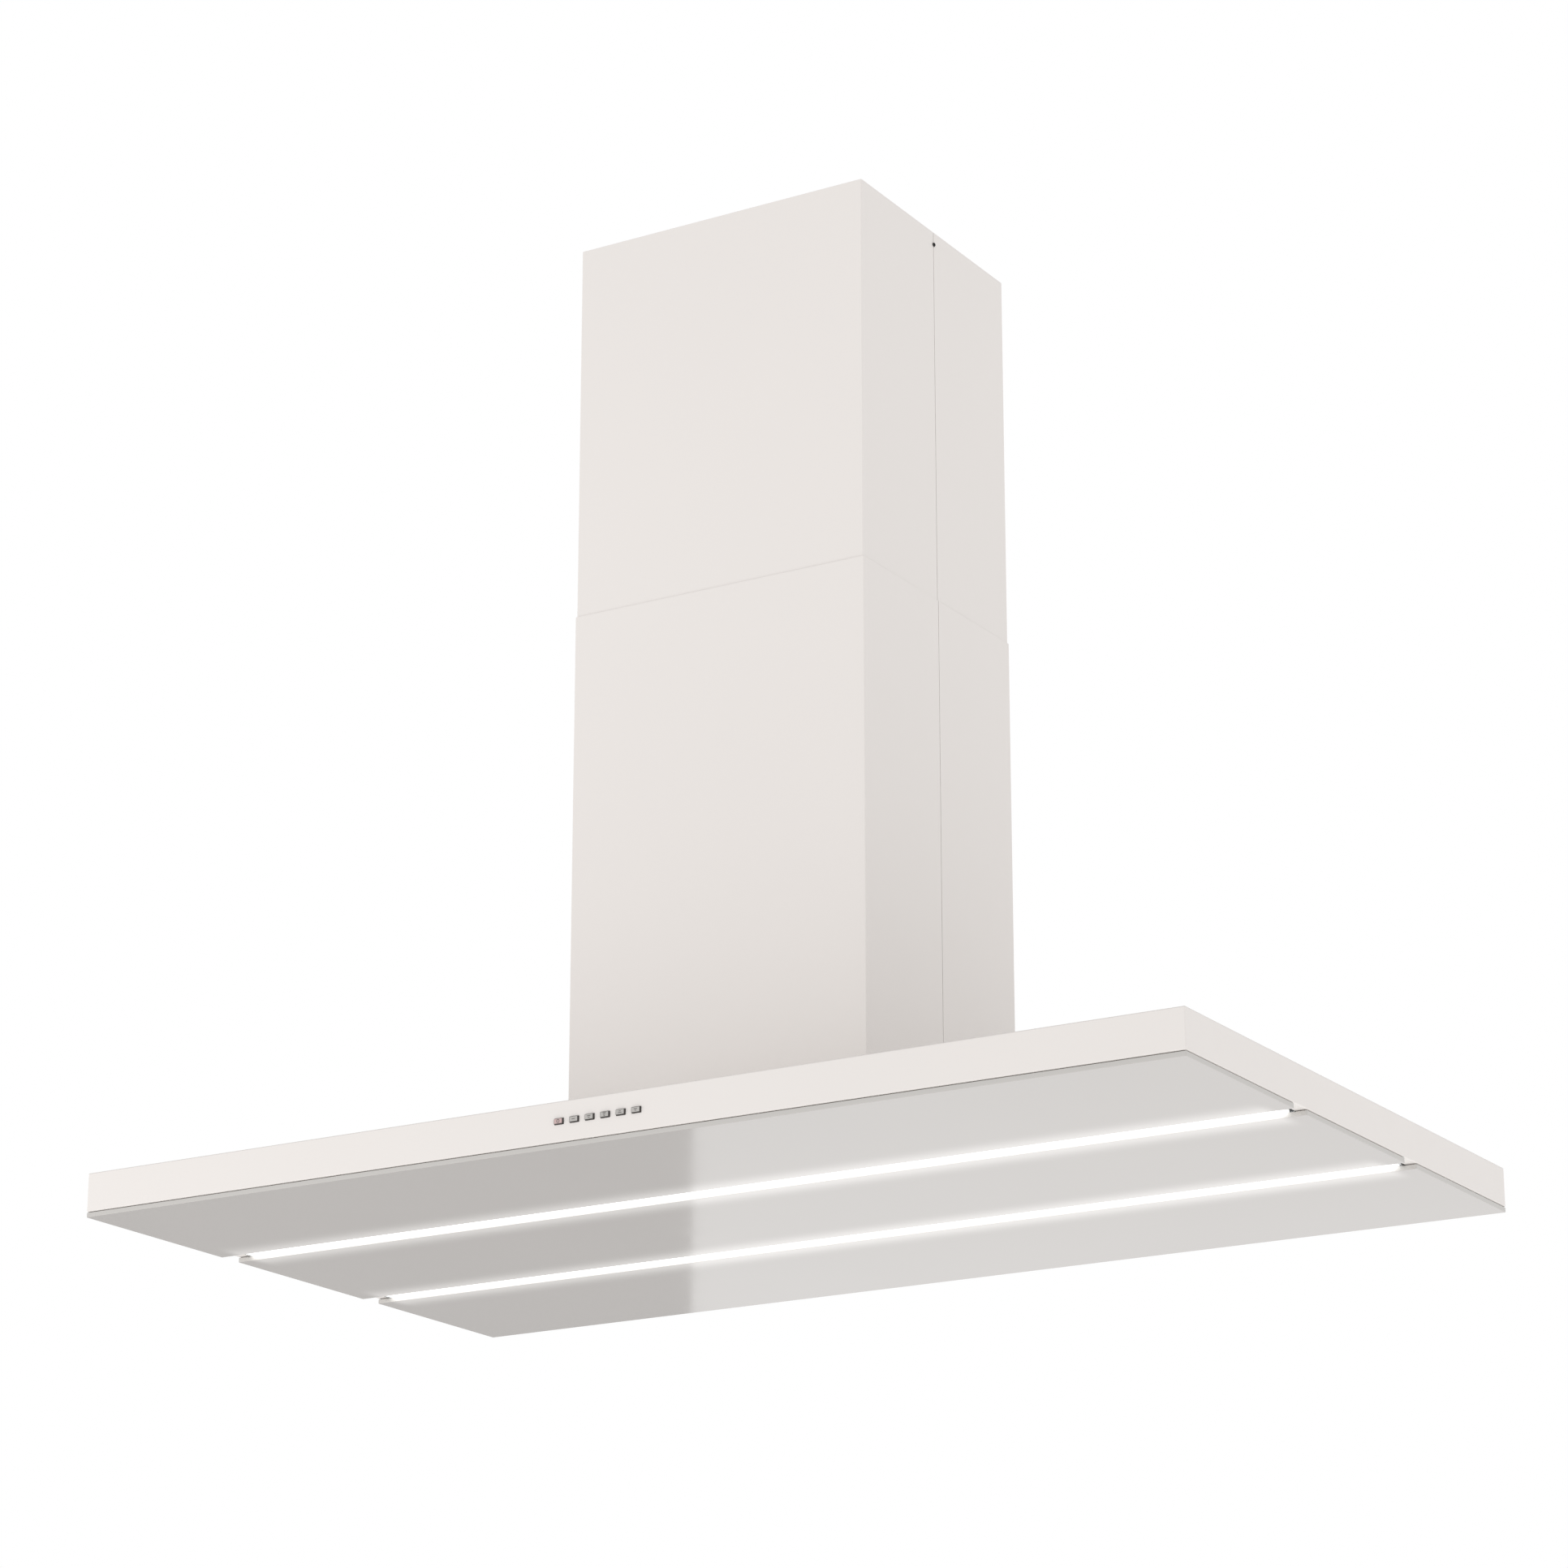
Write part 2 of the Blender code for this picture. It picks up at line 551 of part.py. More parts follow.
def make_panel(name):
    """Glass, and behind it the folded tray that carries it and reaches to the hinge studs."""
    low, high = panel_edges()[name]
    hinge_y = panel_hinges()[name]
    pivot = (0, hinge_y, HINGE_HEIGHT)
    glass = add_box("glass_panel_" + name, (-HALF_LENGTH, low, 0), (HALF_LENGTH, high, GLASS_THICKNESS), GLASS)
    set_origin(glass, pivot)
    tray_low, tray_high = tray_edges(name)
    tray = add_object("panel_tray_" + name, open_box_mesh((-TRAY_HALF, tray_low, TRAY_BASE_Z),
                                                          (TRAY_HALF, tray_high, TRAY_TOP_Z), ("+Z",)), STEEL)
    thicken(tray, TRAY_SHEET)
    cut_box(tray, (TRAY_RING - TRAY_HALF, tray_low + TRAY_RING, TRAY_BASE_Z - CUT_MARGIN),
            (TRAY_HALF - TRAY_RING, tray_high - TRAY_RING, TRAY_BASE_Z + CUT_MARGIN))
    tray_side = tray_low if name == "rear" else tray_high
    inward = 1 if name == "rear" else -1
    arm_end = tray_side + inward * HINGE_ARM_REACH
    arm_low, arm_high = min(arm_end, hinge_y), max(arm_end, hinge_y)
    arm_top = HINGE_HEIGHT + ARM_TOP_SHARE * HINGE_EYE_RADIUS
    for side in (-1, 1):
        outer, inner = side * ARM_OUTER_X, side * (ARM_OUTER_X - HINGE_ARM)
        join_box(tray, (min(outer, inner), arm_low, TRAY_BASE_Z + ARM_ROOT_SHARE * TRAY_SHEET),
                 (max(outer, inner), arm_high, arm_top))
        middle = (outer + inner) / 2
        join_cylinder(tray, (middle, hinge_y, HINGE_HEIGHT), "X", HINGE_EYE_RADIUS, HINGE_ARM, 24)
        cut_hole(tray, (middle, hinge_y, HINGE_HEIGHT), "X", HINGE_STUD_RADIUS + HINGE_PLAY, 4 * HINGE_ARM, 16)


def make_magnets(name):
    """Two catch magnets under the pan, over the free edge of a panel's tray."""
    tray_low, tray_high = tray_edges(name)
    free = tray_high - TRAY_SHEET / 2 if name == "rear" else tray_low + TRAY_SHEET / 2
    for side_name, side in (("left", -1), ("right", 1)):
        x = side * MAGNET_X
        add_box("magnet_" + name + "_" + side_name,
                (x - MAGNET_LENGTH / 2, free - MAGNET_DEPTH / 2, TRAY_TOP_Z + GAP),
                (x + MAGNET_LENGTH / 2, free + MAGNET_DEPTH / 2, PAN_Z - GAP), BLACK_PLASTIC)


# ---------------------------------------------------------------- light bars


def make_lamp(name, y):
    """Light bar in a slot: aluminium channel, LED board and opal diffuser flush with the rim."""
    leg_top = RIM_Z + DIFFUSER_SHEET + DIFFUSER_LEG_HEIGHT
    half = DIFFUSER_WIDTH / 2
    leg_outer = CHANNEL_WIDTH / 2 - CHANNEL_WALL - GAP
    leg_inner = leg_outer - DIFFUSER_LEG
    sheet_top = RIM_Z + DIFFUSER_SHEET
    right = [(half, RIM_Z), (half, sheet_top), (leg_outer, sheet_top), (leg_outer, leg_top),
             (leg_inner, leg_top), (leg_inner, sheet_top)]
    outline = right + [(-across, up) for across, up in reversed(right)]
    extruded_bar("led_diffuser_" + name, [(y + across, up) for across, up in outline], "X",
                 -LAMP_HALF, LAMP_HALF, DIFFUSER)
    base, top = sheet_top + GAP, PAN_Z - GAP
    half = CHANNEL_WIDTH / 2
    inner = half - CHANNEL_WALL
    right = [(half, top), (half, base), (inner, base), (inner, top - CHANNEL_WALL)]
    outline = right + [(-across, up) for across, up in reversed(right)]
    extruded_bar("led_channel_" + name, [(y + across, up) for across, up in outline], "X",
                 -LAMP_HALF, LAMP_HALF, ALUMINIUM)
    board_top = top - CHANNEL_WALL - GAP
    add_box("led_board_" + name, (-LAMP_HALF + CHANNEL_WALL, y - BOARD_WIDTH / 2, board_top - BOARD_SHEET),
            (LAMP_HALF - CHANNEL_WALL, y + BOARD_WIDTH / 2, board_top), GREEN_BOARD)


# ---------------------------------------------------------------- buttons


def make_buttons():
    lip_front = -HALF_WIDTH + CANOPY_SHEET + GAP
    cap_front = -HALF_WIDTH - BUTTON_STANDOUT
    cap_rear = cap_front + BUTTON_CAP_DEPTH
    board_front = board_place()
    for index, x in enumerate(button_places()):
        half_x, half_z = BUTTON_WIDTH / 2, BUTTON_HEIGHT / 2
        button = add_box("button_" + str(index + 1), (x - half_x, cap_front, BUTTON_Z - half_z),
                         (x + half_x, cap_rear, BUTTON_Z + half_z), RED_BUTTON if index == 0 else GREY_BUTTON)
        join_box(button, (x - half_x - BUTTON_LIP, lip_front, BUTTON_Z - half_z - BUTTON_LIP),
                 (x + half_x + BUTTON_LIP, lip_front + BUTTON_LIP_SHEET, BUTTON_Z + half_z + BUTTON_LIP))
        join_box(button, (x - BUTTON_STEM / 2, cap_rear - OVERLAP, BUTTON_Z - BUTTON_STEM / 2),
                 (x + BUTTON_STEM / 2, board_front - BUTTON_TRAVEL - 2 * GAP, BUTTON_Z + BUTTON_STEM / 2))


def housing_rear():
    return -HALF_WIDTH + CANOPY_SHEET + GAP + HOUSING_DEPTH


def board_place():
    """Y of the control board's front face, near the back of its housing."""
    return housing_rear() - HOUSING_WALL - BOARD_BACK_GAP - BOARD_SHEET


def make_controls():
    front = -HALF_WIDTH + CANOPY_SHEET + GAP
    half_x, half_z = housing_half(), HOUSING_HEIGHT / 2
    housing = add_object("button_housing", open_box_mesh((-half_x, front, BUTTON_Z - half_z),
                                                         (half_x, housing_rear(), BUTTON_Z + half_z), ("-Y",)),
                         BLACK_PLASTIC)
    thicken(housing, HOUSING_WALL)
    margin = HOUSING_WALL + BOARD_SIDE_GAP
    add_box("control_board", (-half_x + margin, board_place(), BUTTON_Z - half_z + margin),
            (half_x - margin, board_place() + BOARD_SHEET, BUTTON_Z + half_z - margin), GREEN_BOARD)


# ---------------------------------------------------------------- filters


def latch_heights():
    top = FILTER_BASE_Z - LATCH_DROP
    return top - LATCH_SHEET, top


def make_filter(name, side):
    """Aluminium frame round a mesh pack, with a sprung latch under its outer edge."""
    x = side * FILTER_X
    half_x, half_y = FILTER_LENGTH / 2, FILTER_WIDTH / 2
    frame = add_box("filter_frame_" + name, (x - half_x, -half_y, FILTER_BASE_Z),
                    (x + half_x, half_y, FILTER_TOP_Z), ALUMINIUM)
    cut_box(frame, (x - half_x + FILTER_BORDER, FILTER_BORDER - half_y, FILTER_BASE_Z - CUT_MARGIN),
            (x + half_x - FILTER_BORDER, half_y - FILTER_BORDER, FILTER_TOP_Z + CUT_MARGIN))
    inset = FILTER_BORDER + GAP
    add_box("filter_mesh_" + name, (x - half_x + inset, inset - half_y, FILTER_BASE_Z + MESH_SET_BACK),
            (x + half_x - inset, half_y - inset, FILTER_TOP_Z - MESH_SET_BACK), ALUMINIUM)
    outer = side * (FILTER_X + half_x + KEEPER_DISTANCE + LATCH_ENGAGEMENT)
    inner = outer - side * LATCH_LENGTH
    low, high = latch_heights()
    add_box("filter_latch_" + name, (min(outer, inner), -LATCH_WIDTH / 2, low),
            (max(outer, inner), LATCH_WIDTH / 2, high), STEEL)


# ---------------------------------------------------------------- blower unit


def make_motor_box():
    half_x, half_y = BOX_LENGTH / 2, BOX_WIDTH / 2
    casing = add_object("motor_box", open_box_mesh((-half_x, -half_y, BOX_BASE_Z),
                                                   (half_x, half_y, BOX_TOP_Z), ("-Z",)), GALVANISED)
    thicken(casing, BOX_SHEET)
    cut_hole(casing, (0, 0, BOX_TOP_Z), "Z", COLLAR_RADIUS - COLLAR_WALL, 10 * BOX_SHEET, 40)


def scroll_outline():
    """Spiral wall round the impeller, running up into a straight neck."""
    turns = 20
    points = []
    for index in range(turns + 1):
        share = index / turns
        angle = SCROLL_CUTOFF - share * (SCROLL_CUTOFF + math.pi)
        radius = SCROLL_MIN_RADIUS + share * (SCROLL_MAX_RADIUS - SCROLL_MIN_RADIUS)
        points.append((SCROLL_X + radius * math.cos(angle), SCROLL_AXIS_Z + radius * math.sin(angle)))
    return [(points[0][0], SCROLL_TOP_Z)] + points + [(points[-1][0], SCROLL_TOP_Z)]


def make_blower_half(name, side):
    """Half of the spiral housing, open at the joint and at the neck, with an inlet in its side."""
    data = bmesh.new()
    outer, inner = side * SCROLL_DEPTH / 2, side * GAP / 2
    wall = data.faces.new([data.verts.new((x, outer, z)) for x, z in scroll_outline()])
    swept = bmesh.ops.extrude_face_region(data, geom=[wall], use_keep_orig=True)["geom"]
    for vert in [item for item in swept if isinstance(item, bmesh.types.BMVert)]:
        vert.co.y = inner
    joint = [face for face in data.faces if all(abs(vert.co.y - inner) < 1e-6 for vert in face.verts)]
    neck = [face for face in data.faces if all(abs(vert.co.z - SCROLL_TOP_Z) < 1e-6 for vert in face.verts)]
    bmesh.ops.delete(data, geom=joint + neck, context="FACES")
    bmesh.ops.recalc_face_normals(data, faces=data.faces)
    half = add_object("blower_housing_" + name, data, BLACK_PLASTIC)
    cheek = max(half.data.polygons, key=lambda face: face.area)
    thicken(half, SCROLL_WALL, -1.0 if cheek.normal.y * side > 0 else 1.0)
    cut_hole(half, (SCROLL_X, outer, SCROLL_AXIS_Z), "Y", INLET_RADIUS, 10 * SCROLL_WALL, 40)


def make_impeller():
    """Two-sided centrifugal wheel: end rings, blades and a middle disc with a hub."""
    axis = (SCROLL_X, 0, SCROLL_AXIS_Z)
    half = IMPELLER_WIDTH / 2
    wheel = add_object("impeller", cylinder_mesh(axis, "Y", IMPELLER_RADIUS, IMPELLER_WIDTH, 48), BLACK_PLASTIC)
    ring_inner = IMPELLER_RADIUS - BLADE_DEPTH
    web = IMPELLER_RING
    for side in (-1, 1):
        middle = side * (web / 2 + (half - web / 2) / 2 + CUT_MARGIN)
        cut_hole(wheel, (SCROLL_X, middle, SCROLL_AXIS_Z), "Y", ring_inner, half - web / 2 + 2 * CUT_MARGIN, 48)
    slots = bmesh.new()
    slot_angle = 2 * math.pi / BLADE_COUNT
    slot_width = slot_angle * ring_inner - 2 * BLADE_SHEET
    for index in range(BLADE_COUNT):
        for side in (-1, 1):
            low = web / 2 if side > 0 else -half + IMPELLER_RING
            high = half - IMPELLER_RING if side > 0 else -web / 2
            slot = box_mesh((ring_inner - CUT_MARGIN, low, -slot_width / 2),
                            (IMPELLER_RADIUS + CUT_MARGIN, high, slot_width / 2))
            turn = Matrix.Rotation(index * slot_angle, 4, "Y")
            slot.transform(Matrix.Translation(axis) @ turn)
            mesh = bpy.data.meshes.new("slot")
            slot.to_mesh(mesh)
            slot.free()
            slots.from_mesh(mesh)
            bpy.data.meshes.remove(mesh)
    combine(wheel, slots, "DIFFERENCE")
    join_cylinder(wheel, (SCROLL_X, -HUB_LENGTH / 2, SCROLL_AXIS_Z), "Y", HUB_RADIUS, HUB_LENGTH, 24)
    cut_hole(wheel, (SCROLL_X, 0, SCROLL_AXIS_Z), "Y", SHAFT_RADIUS + GAP, 6 * HUB_LENGTH, 24)


def make_motor():
    """Outer-mounted motor that reaches into the rear inlet, on a three-armed spider."""
    front = IMPELLER_RING / 2 + MOTOR_WEB_GAP
    middle = front + MOTOR_LENGTH / 2
    motor = add_object("motor", cylinder_mesh((SCROLL_X, middle, SCROLL_AXIS_Z), "Y", MOTOR_RADIUS,
                                              MOTOR_LENGTH, 32), STEEL)
    shaft_front = -HUB_LENGTH - SHAFT_STICK_OUT
    shaft_rear = shaft_front + SHAFT_LENGTH
    cut_hole(motor, (SCROLL_X, (shaft_rear + GAP) / 2, SCROLL_AXIS_Z), "Y", SHAFT_RADIUS + GAP,
             shaft_rear + GAP, 24)
    shaft = add_object("motor_shaft", cylinder_mesh((SCROLL_X, (shaft_front + shaft_rear) / 2, SCROLL_AXIS_Z),
                                                    "Y", SHAFT_RADIUS, SHAFT_LENGTH, 24), STEEL)
    set_origin(shaft, (SCROLL_X, 0, SCROLL_AXIS_Z))
    spider_y = SCROLL_DEPTH / 2 + GAP + SPIDER_SHEET / 2
    ring_outer = MOTOR_RADIUS + GAP + SPIDER_RING
    spider = add_object("motor_spider", cylinder_mesh((SCROLL_X, spider_y, SCROLL_AXIS_Z), "Y", ring_outer,
                                                      SPIDER_SHEET, 32), STEEL)
    for index in range(3):
        arm = box_mesh((MOTOR_RADIUS + GAP + SPIDER_RING / 2, -SHEET_SHARE * SPIDER_SHEET / 2, -SPIDER_ARM / 2),
                       (SPIDER_REACH, SHEET_SHARE * SPIDER_SHEET / 2, SPIDER_ARM / 2))
        turn = Matrix.Rotation(math.pi / 2 + index * 2 * math.pi / 3, 4, "Y")
        arm.transform(Matrix.Translation((SCROLL_X, spider_y, SCROLL_AXIS_Z)) @ turn)
        combine(spider, arm, "UNION")
    cut_hole(spider, (SCROLL_X, spider_y, SCROLL_AXIS_Z), "Y", MOTOR_RADIUS + GAP, 4 * SPIDER_SHEET, 32)


# ---------------------------------------------------------------- outlet and damper


def make_collar():
    """Duct collar on the motor box, with the damper rod across it."""
    inner = COLLAR_RADIUS - COLLAR_WALL
    flange = COLLAR_RADIUS + COLLAR_FLANGE
    profile = [(inner, COLLAR_HEIGHT), (COLLAR_RADIUS, COLLAR_HEIGHT), (COLLAR_RADIUS, COLLAR_FLANGE_SHEET),
               (flange, COLLAR_FLANGE_SHEET), (flange, 0.0), (inner, 0.0), (inner, COLLAR_HEIGHT)]
    collar = turned("outlet_collar", profile, 48, GREY_PLASTIC, (0, 0, COLLAR_BASE_Z))
    cut_hole(collar, (0, 0, DAMPER_Z), "Y", DAMPER_ROD_RADIUS + GAP, 4 * COLLAR_RADIUS, 16)
    add_object("damper_rod", cylinder_mesh((0, 0, DAMPER_Z), "Y", DAMPER_ROD_RADIUS,
                                           2 * (COLLAR_RADIUS + ROD_STICK_OUT), 16), STEEL)


def make_damper_flap(name, side):
    """Half disc with two knuckles on the rod; side is -1 left, +1 right."""
    radius = COLLAR_RADIUS - COLLAR_WALL - DAMPER_EDGE_CLEARANCE
    bore = DAMPER_ROD_RADIUS + GAP
    knuckle = bore + DAMPER_KNUCKLE_WALL
    edge = knuckle + GAP
    flap = add_object("damper_flap_" + name, cylinder_mesh((0, 0, DAMPER_Z), "Z", radius, DAMPER_SHEET, 48),
                      GREY_PLASTIC)
    far = side * -2 * radius
    near = side * edge
    cut_box(flap, (min(far, near), -2 * radius, DAMPER_Z - 2 * CUT_MARGIN), (max(far, near), 2 * radius, DAMPER_Z + 2 * CUT_MARGIN))
    for start in (-KNUCKLE_LENGTH, 0.0) if side > 0 else (-2 * KNUCKLE_LENGTH, KNUCKLE_LENGTH):
        low_y, high_y = start + GAP, start + KNUCKLE_LENGTH - GAP
        reach = side * (edge + OVERLAP)
        join_box(flap, (min(0, reach), low_y, DAMPER_Z - SHEET_SHARE * DAMPER_SHEET / 2),
                 (max(0, reach), high_y, DAMPER_Z + SHEET_SHARE * DAMPER_SHEET / 2))
        join_cylinder(flap, (0, (low_y + high_y) / 2, DAMPER_Z), "Y", knuckle, high_y - low_y, 16)
    cut_hole(flap, (0, 0, DAMPER_Z), "Y", bore, 4 * radius, 16)


def make_electrics():
    front = -BOX_WIDTH / 2 - GAP
    base = BOX_BASE_Z + JUNCTION_BASE
    add_box("junction_box", (-JUNCTION_LENGTH / 2, front - JUNCTION_DEPTH, base),
            (JUNCTION_LENGTH / 2, front, base + JUNCTION_HEIGHT), GREY_PLASTIC)
    base = PAN_Z + PAN_SHEET + GAP
    add_box("led_driver", (DRIVER_X - DRIVER_LENGTH / 2, -DRIVER_WIDTH / 2, base),
            (DRIVER_X + DRIVER_LENGTH / 2, DRIVER_WIDTH / 2, base + DRIVER_HEIGHT), GREY_PLASTIC)


make_ceiling_plate()
make_chimney()
make_canopy_shell()
make_canopy_pan()
make_hinge_rail("hinge_rail_left", -1)
make_hinge_rail("hinge_rail_right", 1)
for panel_name in ("front", "centre", "rear"):
    make_panel(panel_name)
    make_magnets(panel_name)
make_lamp("front", -SLOT_Y)
make_lamp("rear", SLOT_Y)
make_buttons()
make_controls()
make_filter("left", -1)
make_filter("right", 1)
make_motor_box()
make_blower_half("front", -1)
make_blower_half("rear", 1)
make_impeller()
make_motor()
make_collar()
make_damper_flap("left", -1)
make_damper_flap("right", 1)
make_electrics()
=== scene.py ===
import math

import bmesh
import bpy
from mathutils import Matrix, Vector


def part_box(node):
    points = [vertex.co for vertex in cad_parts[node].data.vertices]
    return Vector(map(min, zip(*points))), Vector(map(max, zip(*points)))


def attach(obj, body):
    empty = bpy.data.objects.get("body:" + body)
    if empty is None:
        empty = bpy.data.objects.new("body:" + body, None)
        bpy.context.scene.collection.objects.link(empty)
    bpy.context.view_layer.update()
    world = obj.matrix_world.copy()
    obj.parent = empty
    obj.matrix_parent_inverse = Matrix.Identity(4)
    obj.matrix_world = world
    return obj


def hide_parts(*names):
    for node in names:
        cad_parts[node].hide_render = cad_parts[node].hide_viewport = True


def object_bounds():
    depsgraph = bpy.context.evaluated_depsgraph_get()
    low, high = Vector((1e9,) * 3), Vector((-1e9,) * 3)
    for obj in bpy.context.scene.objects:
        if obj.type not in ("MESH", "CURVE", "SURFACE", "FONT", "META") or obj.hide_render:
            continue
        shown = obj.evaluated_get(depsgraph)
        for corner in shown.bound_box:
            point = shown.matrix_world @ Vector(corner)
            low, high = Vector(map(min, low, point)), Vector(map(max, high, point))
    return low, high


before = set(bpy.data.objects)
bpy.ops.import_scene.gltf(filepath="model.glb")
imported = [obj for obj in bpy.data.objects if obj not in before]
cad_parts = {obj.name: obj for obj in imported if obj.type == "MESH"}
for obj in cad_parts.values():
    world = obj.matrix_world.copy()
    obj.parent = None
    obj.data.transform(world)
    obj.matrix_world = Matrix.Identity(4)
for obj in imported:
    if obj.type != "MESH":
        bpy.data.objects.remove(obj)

cad_low, cad_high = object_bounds()
MM = 0.001

# ======================================================================================
# Studio. A white room of even light that falls off overhead, one broad soft light low in
# front, a grey card behind the hood that only the glass mirrors, and a pale floor that is
# clear from below, so that the underside can be seen.
# ======================================================================================
FOCAL_LENGTH = 104.2
CAMERA_PLACE = (2.2434, -3.7269, -0.9871)
CAMERA_RISE = 18.21
CAMERA_TURN = 31.18
SIDE_LIGHT = 1.06
TOP_LIGHT = 0.46
FALL_OFF_END = 0.9
SOFTBOX_SIZE = (1.4, 1.0)
SOFTBOX_POWER = 8.0
SOFTBOX_PLACE = (-1.9, -1.9, -0.05)
SOFTBOX_AIM = (-0.2, 0.0, 0.15)
CARD_PLACE = (-13.92, 6.0, -4.0)
CARD_SIZE = (20.0, 7.9)
CARD_GREY = 0.5
FLOOR_SIZE = (400.0, 400.0)
FLOOR_DROP = 1.6
FLOOR_GREY = 0.9
FLOOR_GLOW = 0.25

scene = bpy.context.scene
scene.view_settings.view_transform = "Standard"

camera_data = bpy.data.cameras.new("camera")
camera_data.lens = FOCAL_LENGTH
camera_data.sensor_width = 36.0
camera_data.clip_start = 0.1
camera_data.clip_end = 200.0
camera = bpy.data.objects.new("camera", camera_data)
camera.location = CAMERA_PLACE
camera.rotation_euler = (math.radians(90 + CAMERA_RISE), 0.0, math.radians(CAMERA_TURN))
scene.collection.objects.link(camera)
scene.camera = camera


def new_material(name):
    """Empty node material; returns it with its nodes and a function that joins two sockets."""
    material = bpy.data.materials.new(name)
    material.use_nodes = True
    nodes = material.node_tree.nodes
    nodes.clear()
    links = material.node_tree.links
    output = nodes.new("ShaderNodeOutputMaterial")
    shader = nodes.new("ShaderNodeBsdfPrincipled")
    links.new(shader.outputs["BSDF"], output.inputs["Surface"])
    return material, nodes, links.new, shader


room = bpy.data.worlds.new("white_room")
room.use_nodes = True
nodes = room.node_tree.nodes
join = room.node_tree.links.new
look = nodes.new("ShaderNodeTexCoord")
height = nodes.new("ShaderNodeSeparateXYZ")
join(look.outputs["Generated"], height.inputs["Vector"])
dome = nodes.new("ShaderNodeMapRange")
dome.interpolation_type = "SMOOTHSTEP"
dome.inputs["From Min"].default_value = 0.0
dome.inputs["From Max"].default_value = FALL_OFF_END
dome.inputs["To Min"].default_value = SIDE_LIGHT
dome.inputs["To Max"].default_value = TOP_LIGHT
join(height.outputs["Z"], dome.inputs["Value"])
seen = nodes.new("ShaderNodeLightPath")
strength = nodes.new("ShaderNodeMix")
strength.inputs["B"].default_value = 1.0
join(dome.outputs["Result"], strength.inputs["A"])
join(seen.outputs["Is Camera Ray"], strength.inputs["Factor"])
nodes["Background"].inputs["Color"].default_value = (1.0, 1.0, 1.0, 1.0)
join(strength.outputs["Result"], nodes["Background"].inputs["Strength"])
scene.world = room

key_data = bpy.data.lights.new("front_softbox", "AREA")
key_data.shape = "RECTANGLE"
key_data.size, key_data.size_y = SOFTBOX_SIZE
key_data.energy = SOFTBOX_POWER
key = bpy.data.objects.new("front_softbox", key_data)
key.location = SOFTBOX_PLACE
key.rotation_euler = (Vector(SOFTBOX_AIM) - key.location).to_track_quat("-Z", "Y").to_euler()
scene.collection.objects.link(key)
key.visible_camera = False
key.visible_glossy = False


def studio_sheet(name, size, tilt, place, grey):
    """Flat matt sheet of the studio that sends the hood no light."""
    shape = bmesh.new()
    bmesh.ops.create_grid(shape, x_segments=1, y_segments=1, size=0.5)
    bmesh.ops.scale(shape, vec=(*size, 1.0), verts=shape.verts)
    bmesh.ops.rotate(shape, matrix=Matrix.Rotation(tilt, 3, "X"), verts=shape.verts)
    bmesh.ops.translate(shape, vec=place, verts=shape.verts)
    mesh = bpy.data.meshes.new(name)
    shape.to_mesh(mesh)
    sheet = bpy.data.objects.new(name, mesh)
    scene.collection.objects.link(sheet)
    material, nodes, join, shader = new_material(name)
    shader.inputs["Base Color"].default_value = (grey, grey, grey, 1.0)
    shader.inputs["Roughness"].default_value = 0.9
    mesh.materials.append(material)
    sheet.visible_diffuse = False
    sheet.visible_shadow = False
    sheet.visible_transmission = False
    return sheet, nodes, join, shader


card = studio_sheet("grey_card", CARD_SIZE, math.pi / 2, CARD_PLACE, CARD_GREY)[0]
card.visible_camera = False
floor_place = (0, 0, cad_low[2] - FLOOR_DROP)
floor, nodes, join, shader = studio_sheet("pale_floor", FLOOR_SIZE, 0.0, floor_place, FLOOR_GREY)
floor.visible_glossy = False
shader.inputs["Emission Color"].default_value = (1.0, 1.0, 1.0, 1.0)
shader.inputs["Emission Strength"].default_value = FLOOR_GLOW
under = nodes.new("ShaderNodeNewGeometry")
clear = nodes.new("ShaderNodeBsdfTransparent")
one_sided = nodes.new("ShaderNodeMixShader")
join(under.outputs["Backfacing"], one_sided.inputs["Fac"])
join(shader.outputs["BSDF"], one_sided.inputs[1])
join(clear.outputs["BSDF"], one_sided.inputs[2])
join(one_sided.outputs["Shader"], nodes["Material Output"].inputs["Surface"])

# ======================================================================================
# White sheet parts: the two halves of each chimney cover. They are 0.8 mm steel, folded
# on a press brake and powder coated, and their vertical folds keep a small radius.
# ======================================================================================
SHEET_FOLD = 1.6 * MM
COVER_SHEET = 0.8 * MM
SEAM_HALF = 0.25 * MM
CUT_EDGE = 0.18 * MM
BEVEL_ANGLE = 40
SHARP_ANGLE = 35
ROUNDED_SHARP_ANGLE = 50


def tint_by(nodes, join, mask, low, high):
    """Colour that runs from low to high as the mask runs from 0 to 1."""
    ramp = nodes.new("ShaderNodeMix")
    ramp.data_type = "RGBA"
    ramp.inputs["A"].default_value = (*low, 1.0)
    ramp.inputs["B"].default_value = (*high, 1.0)
    join(mask, ramp.inputs["Factor"])
    return ramp.outputs["Result"]


def span(nodes, join, value, low, high):
    """Number that runs from low to high as the value runs from 0 to 1."""
    reach = nodes.new("ShaderNodeMapRange")
    reach.inputs["To Min"].default_value = low
    reach.inputs["To Max"].default_value = high
    join(value, reach.inputs["Value"])
    return reach.outputs["Result"]


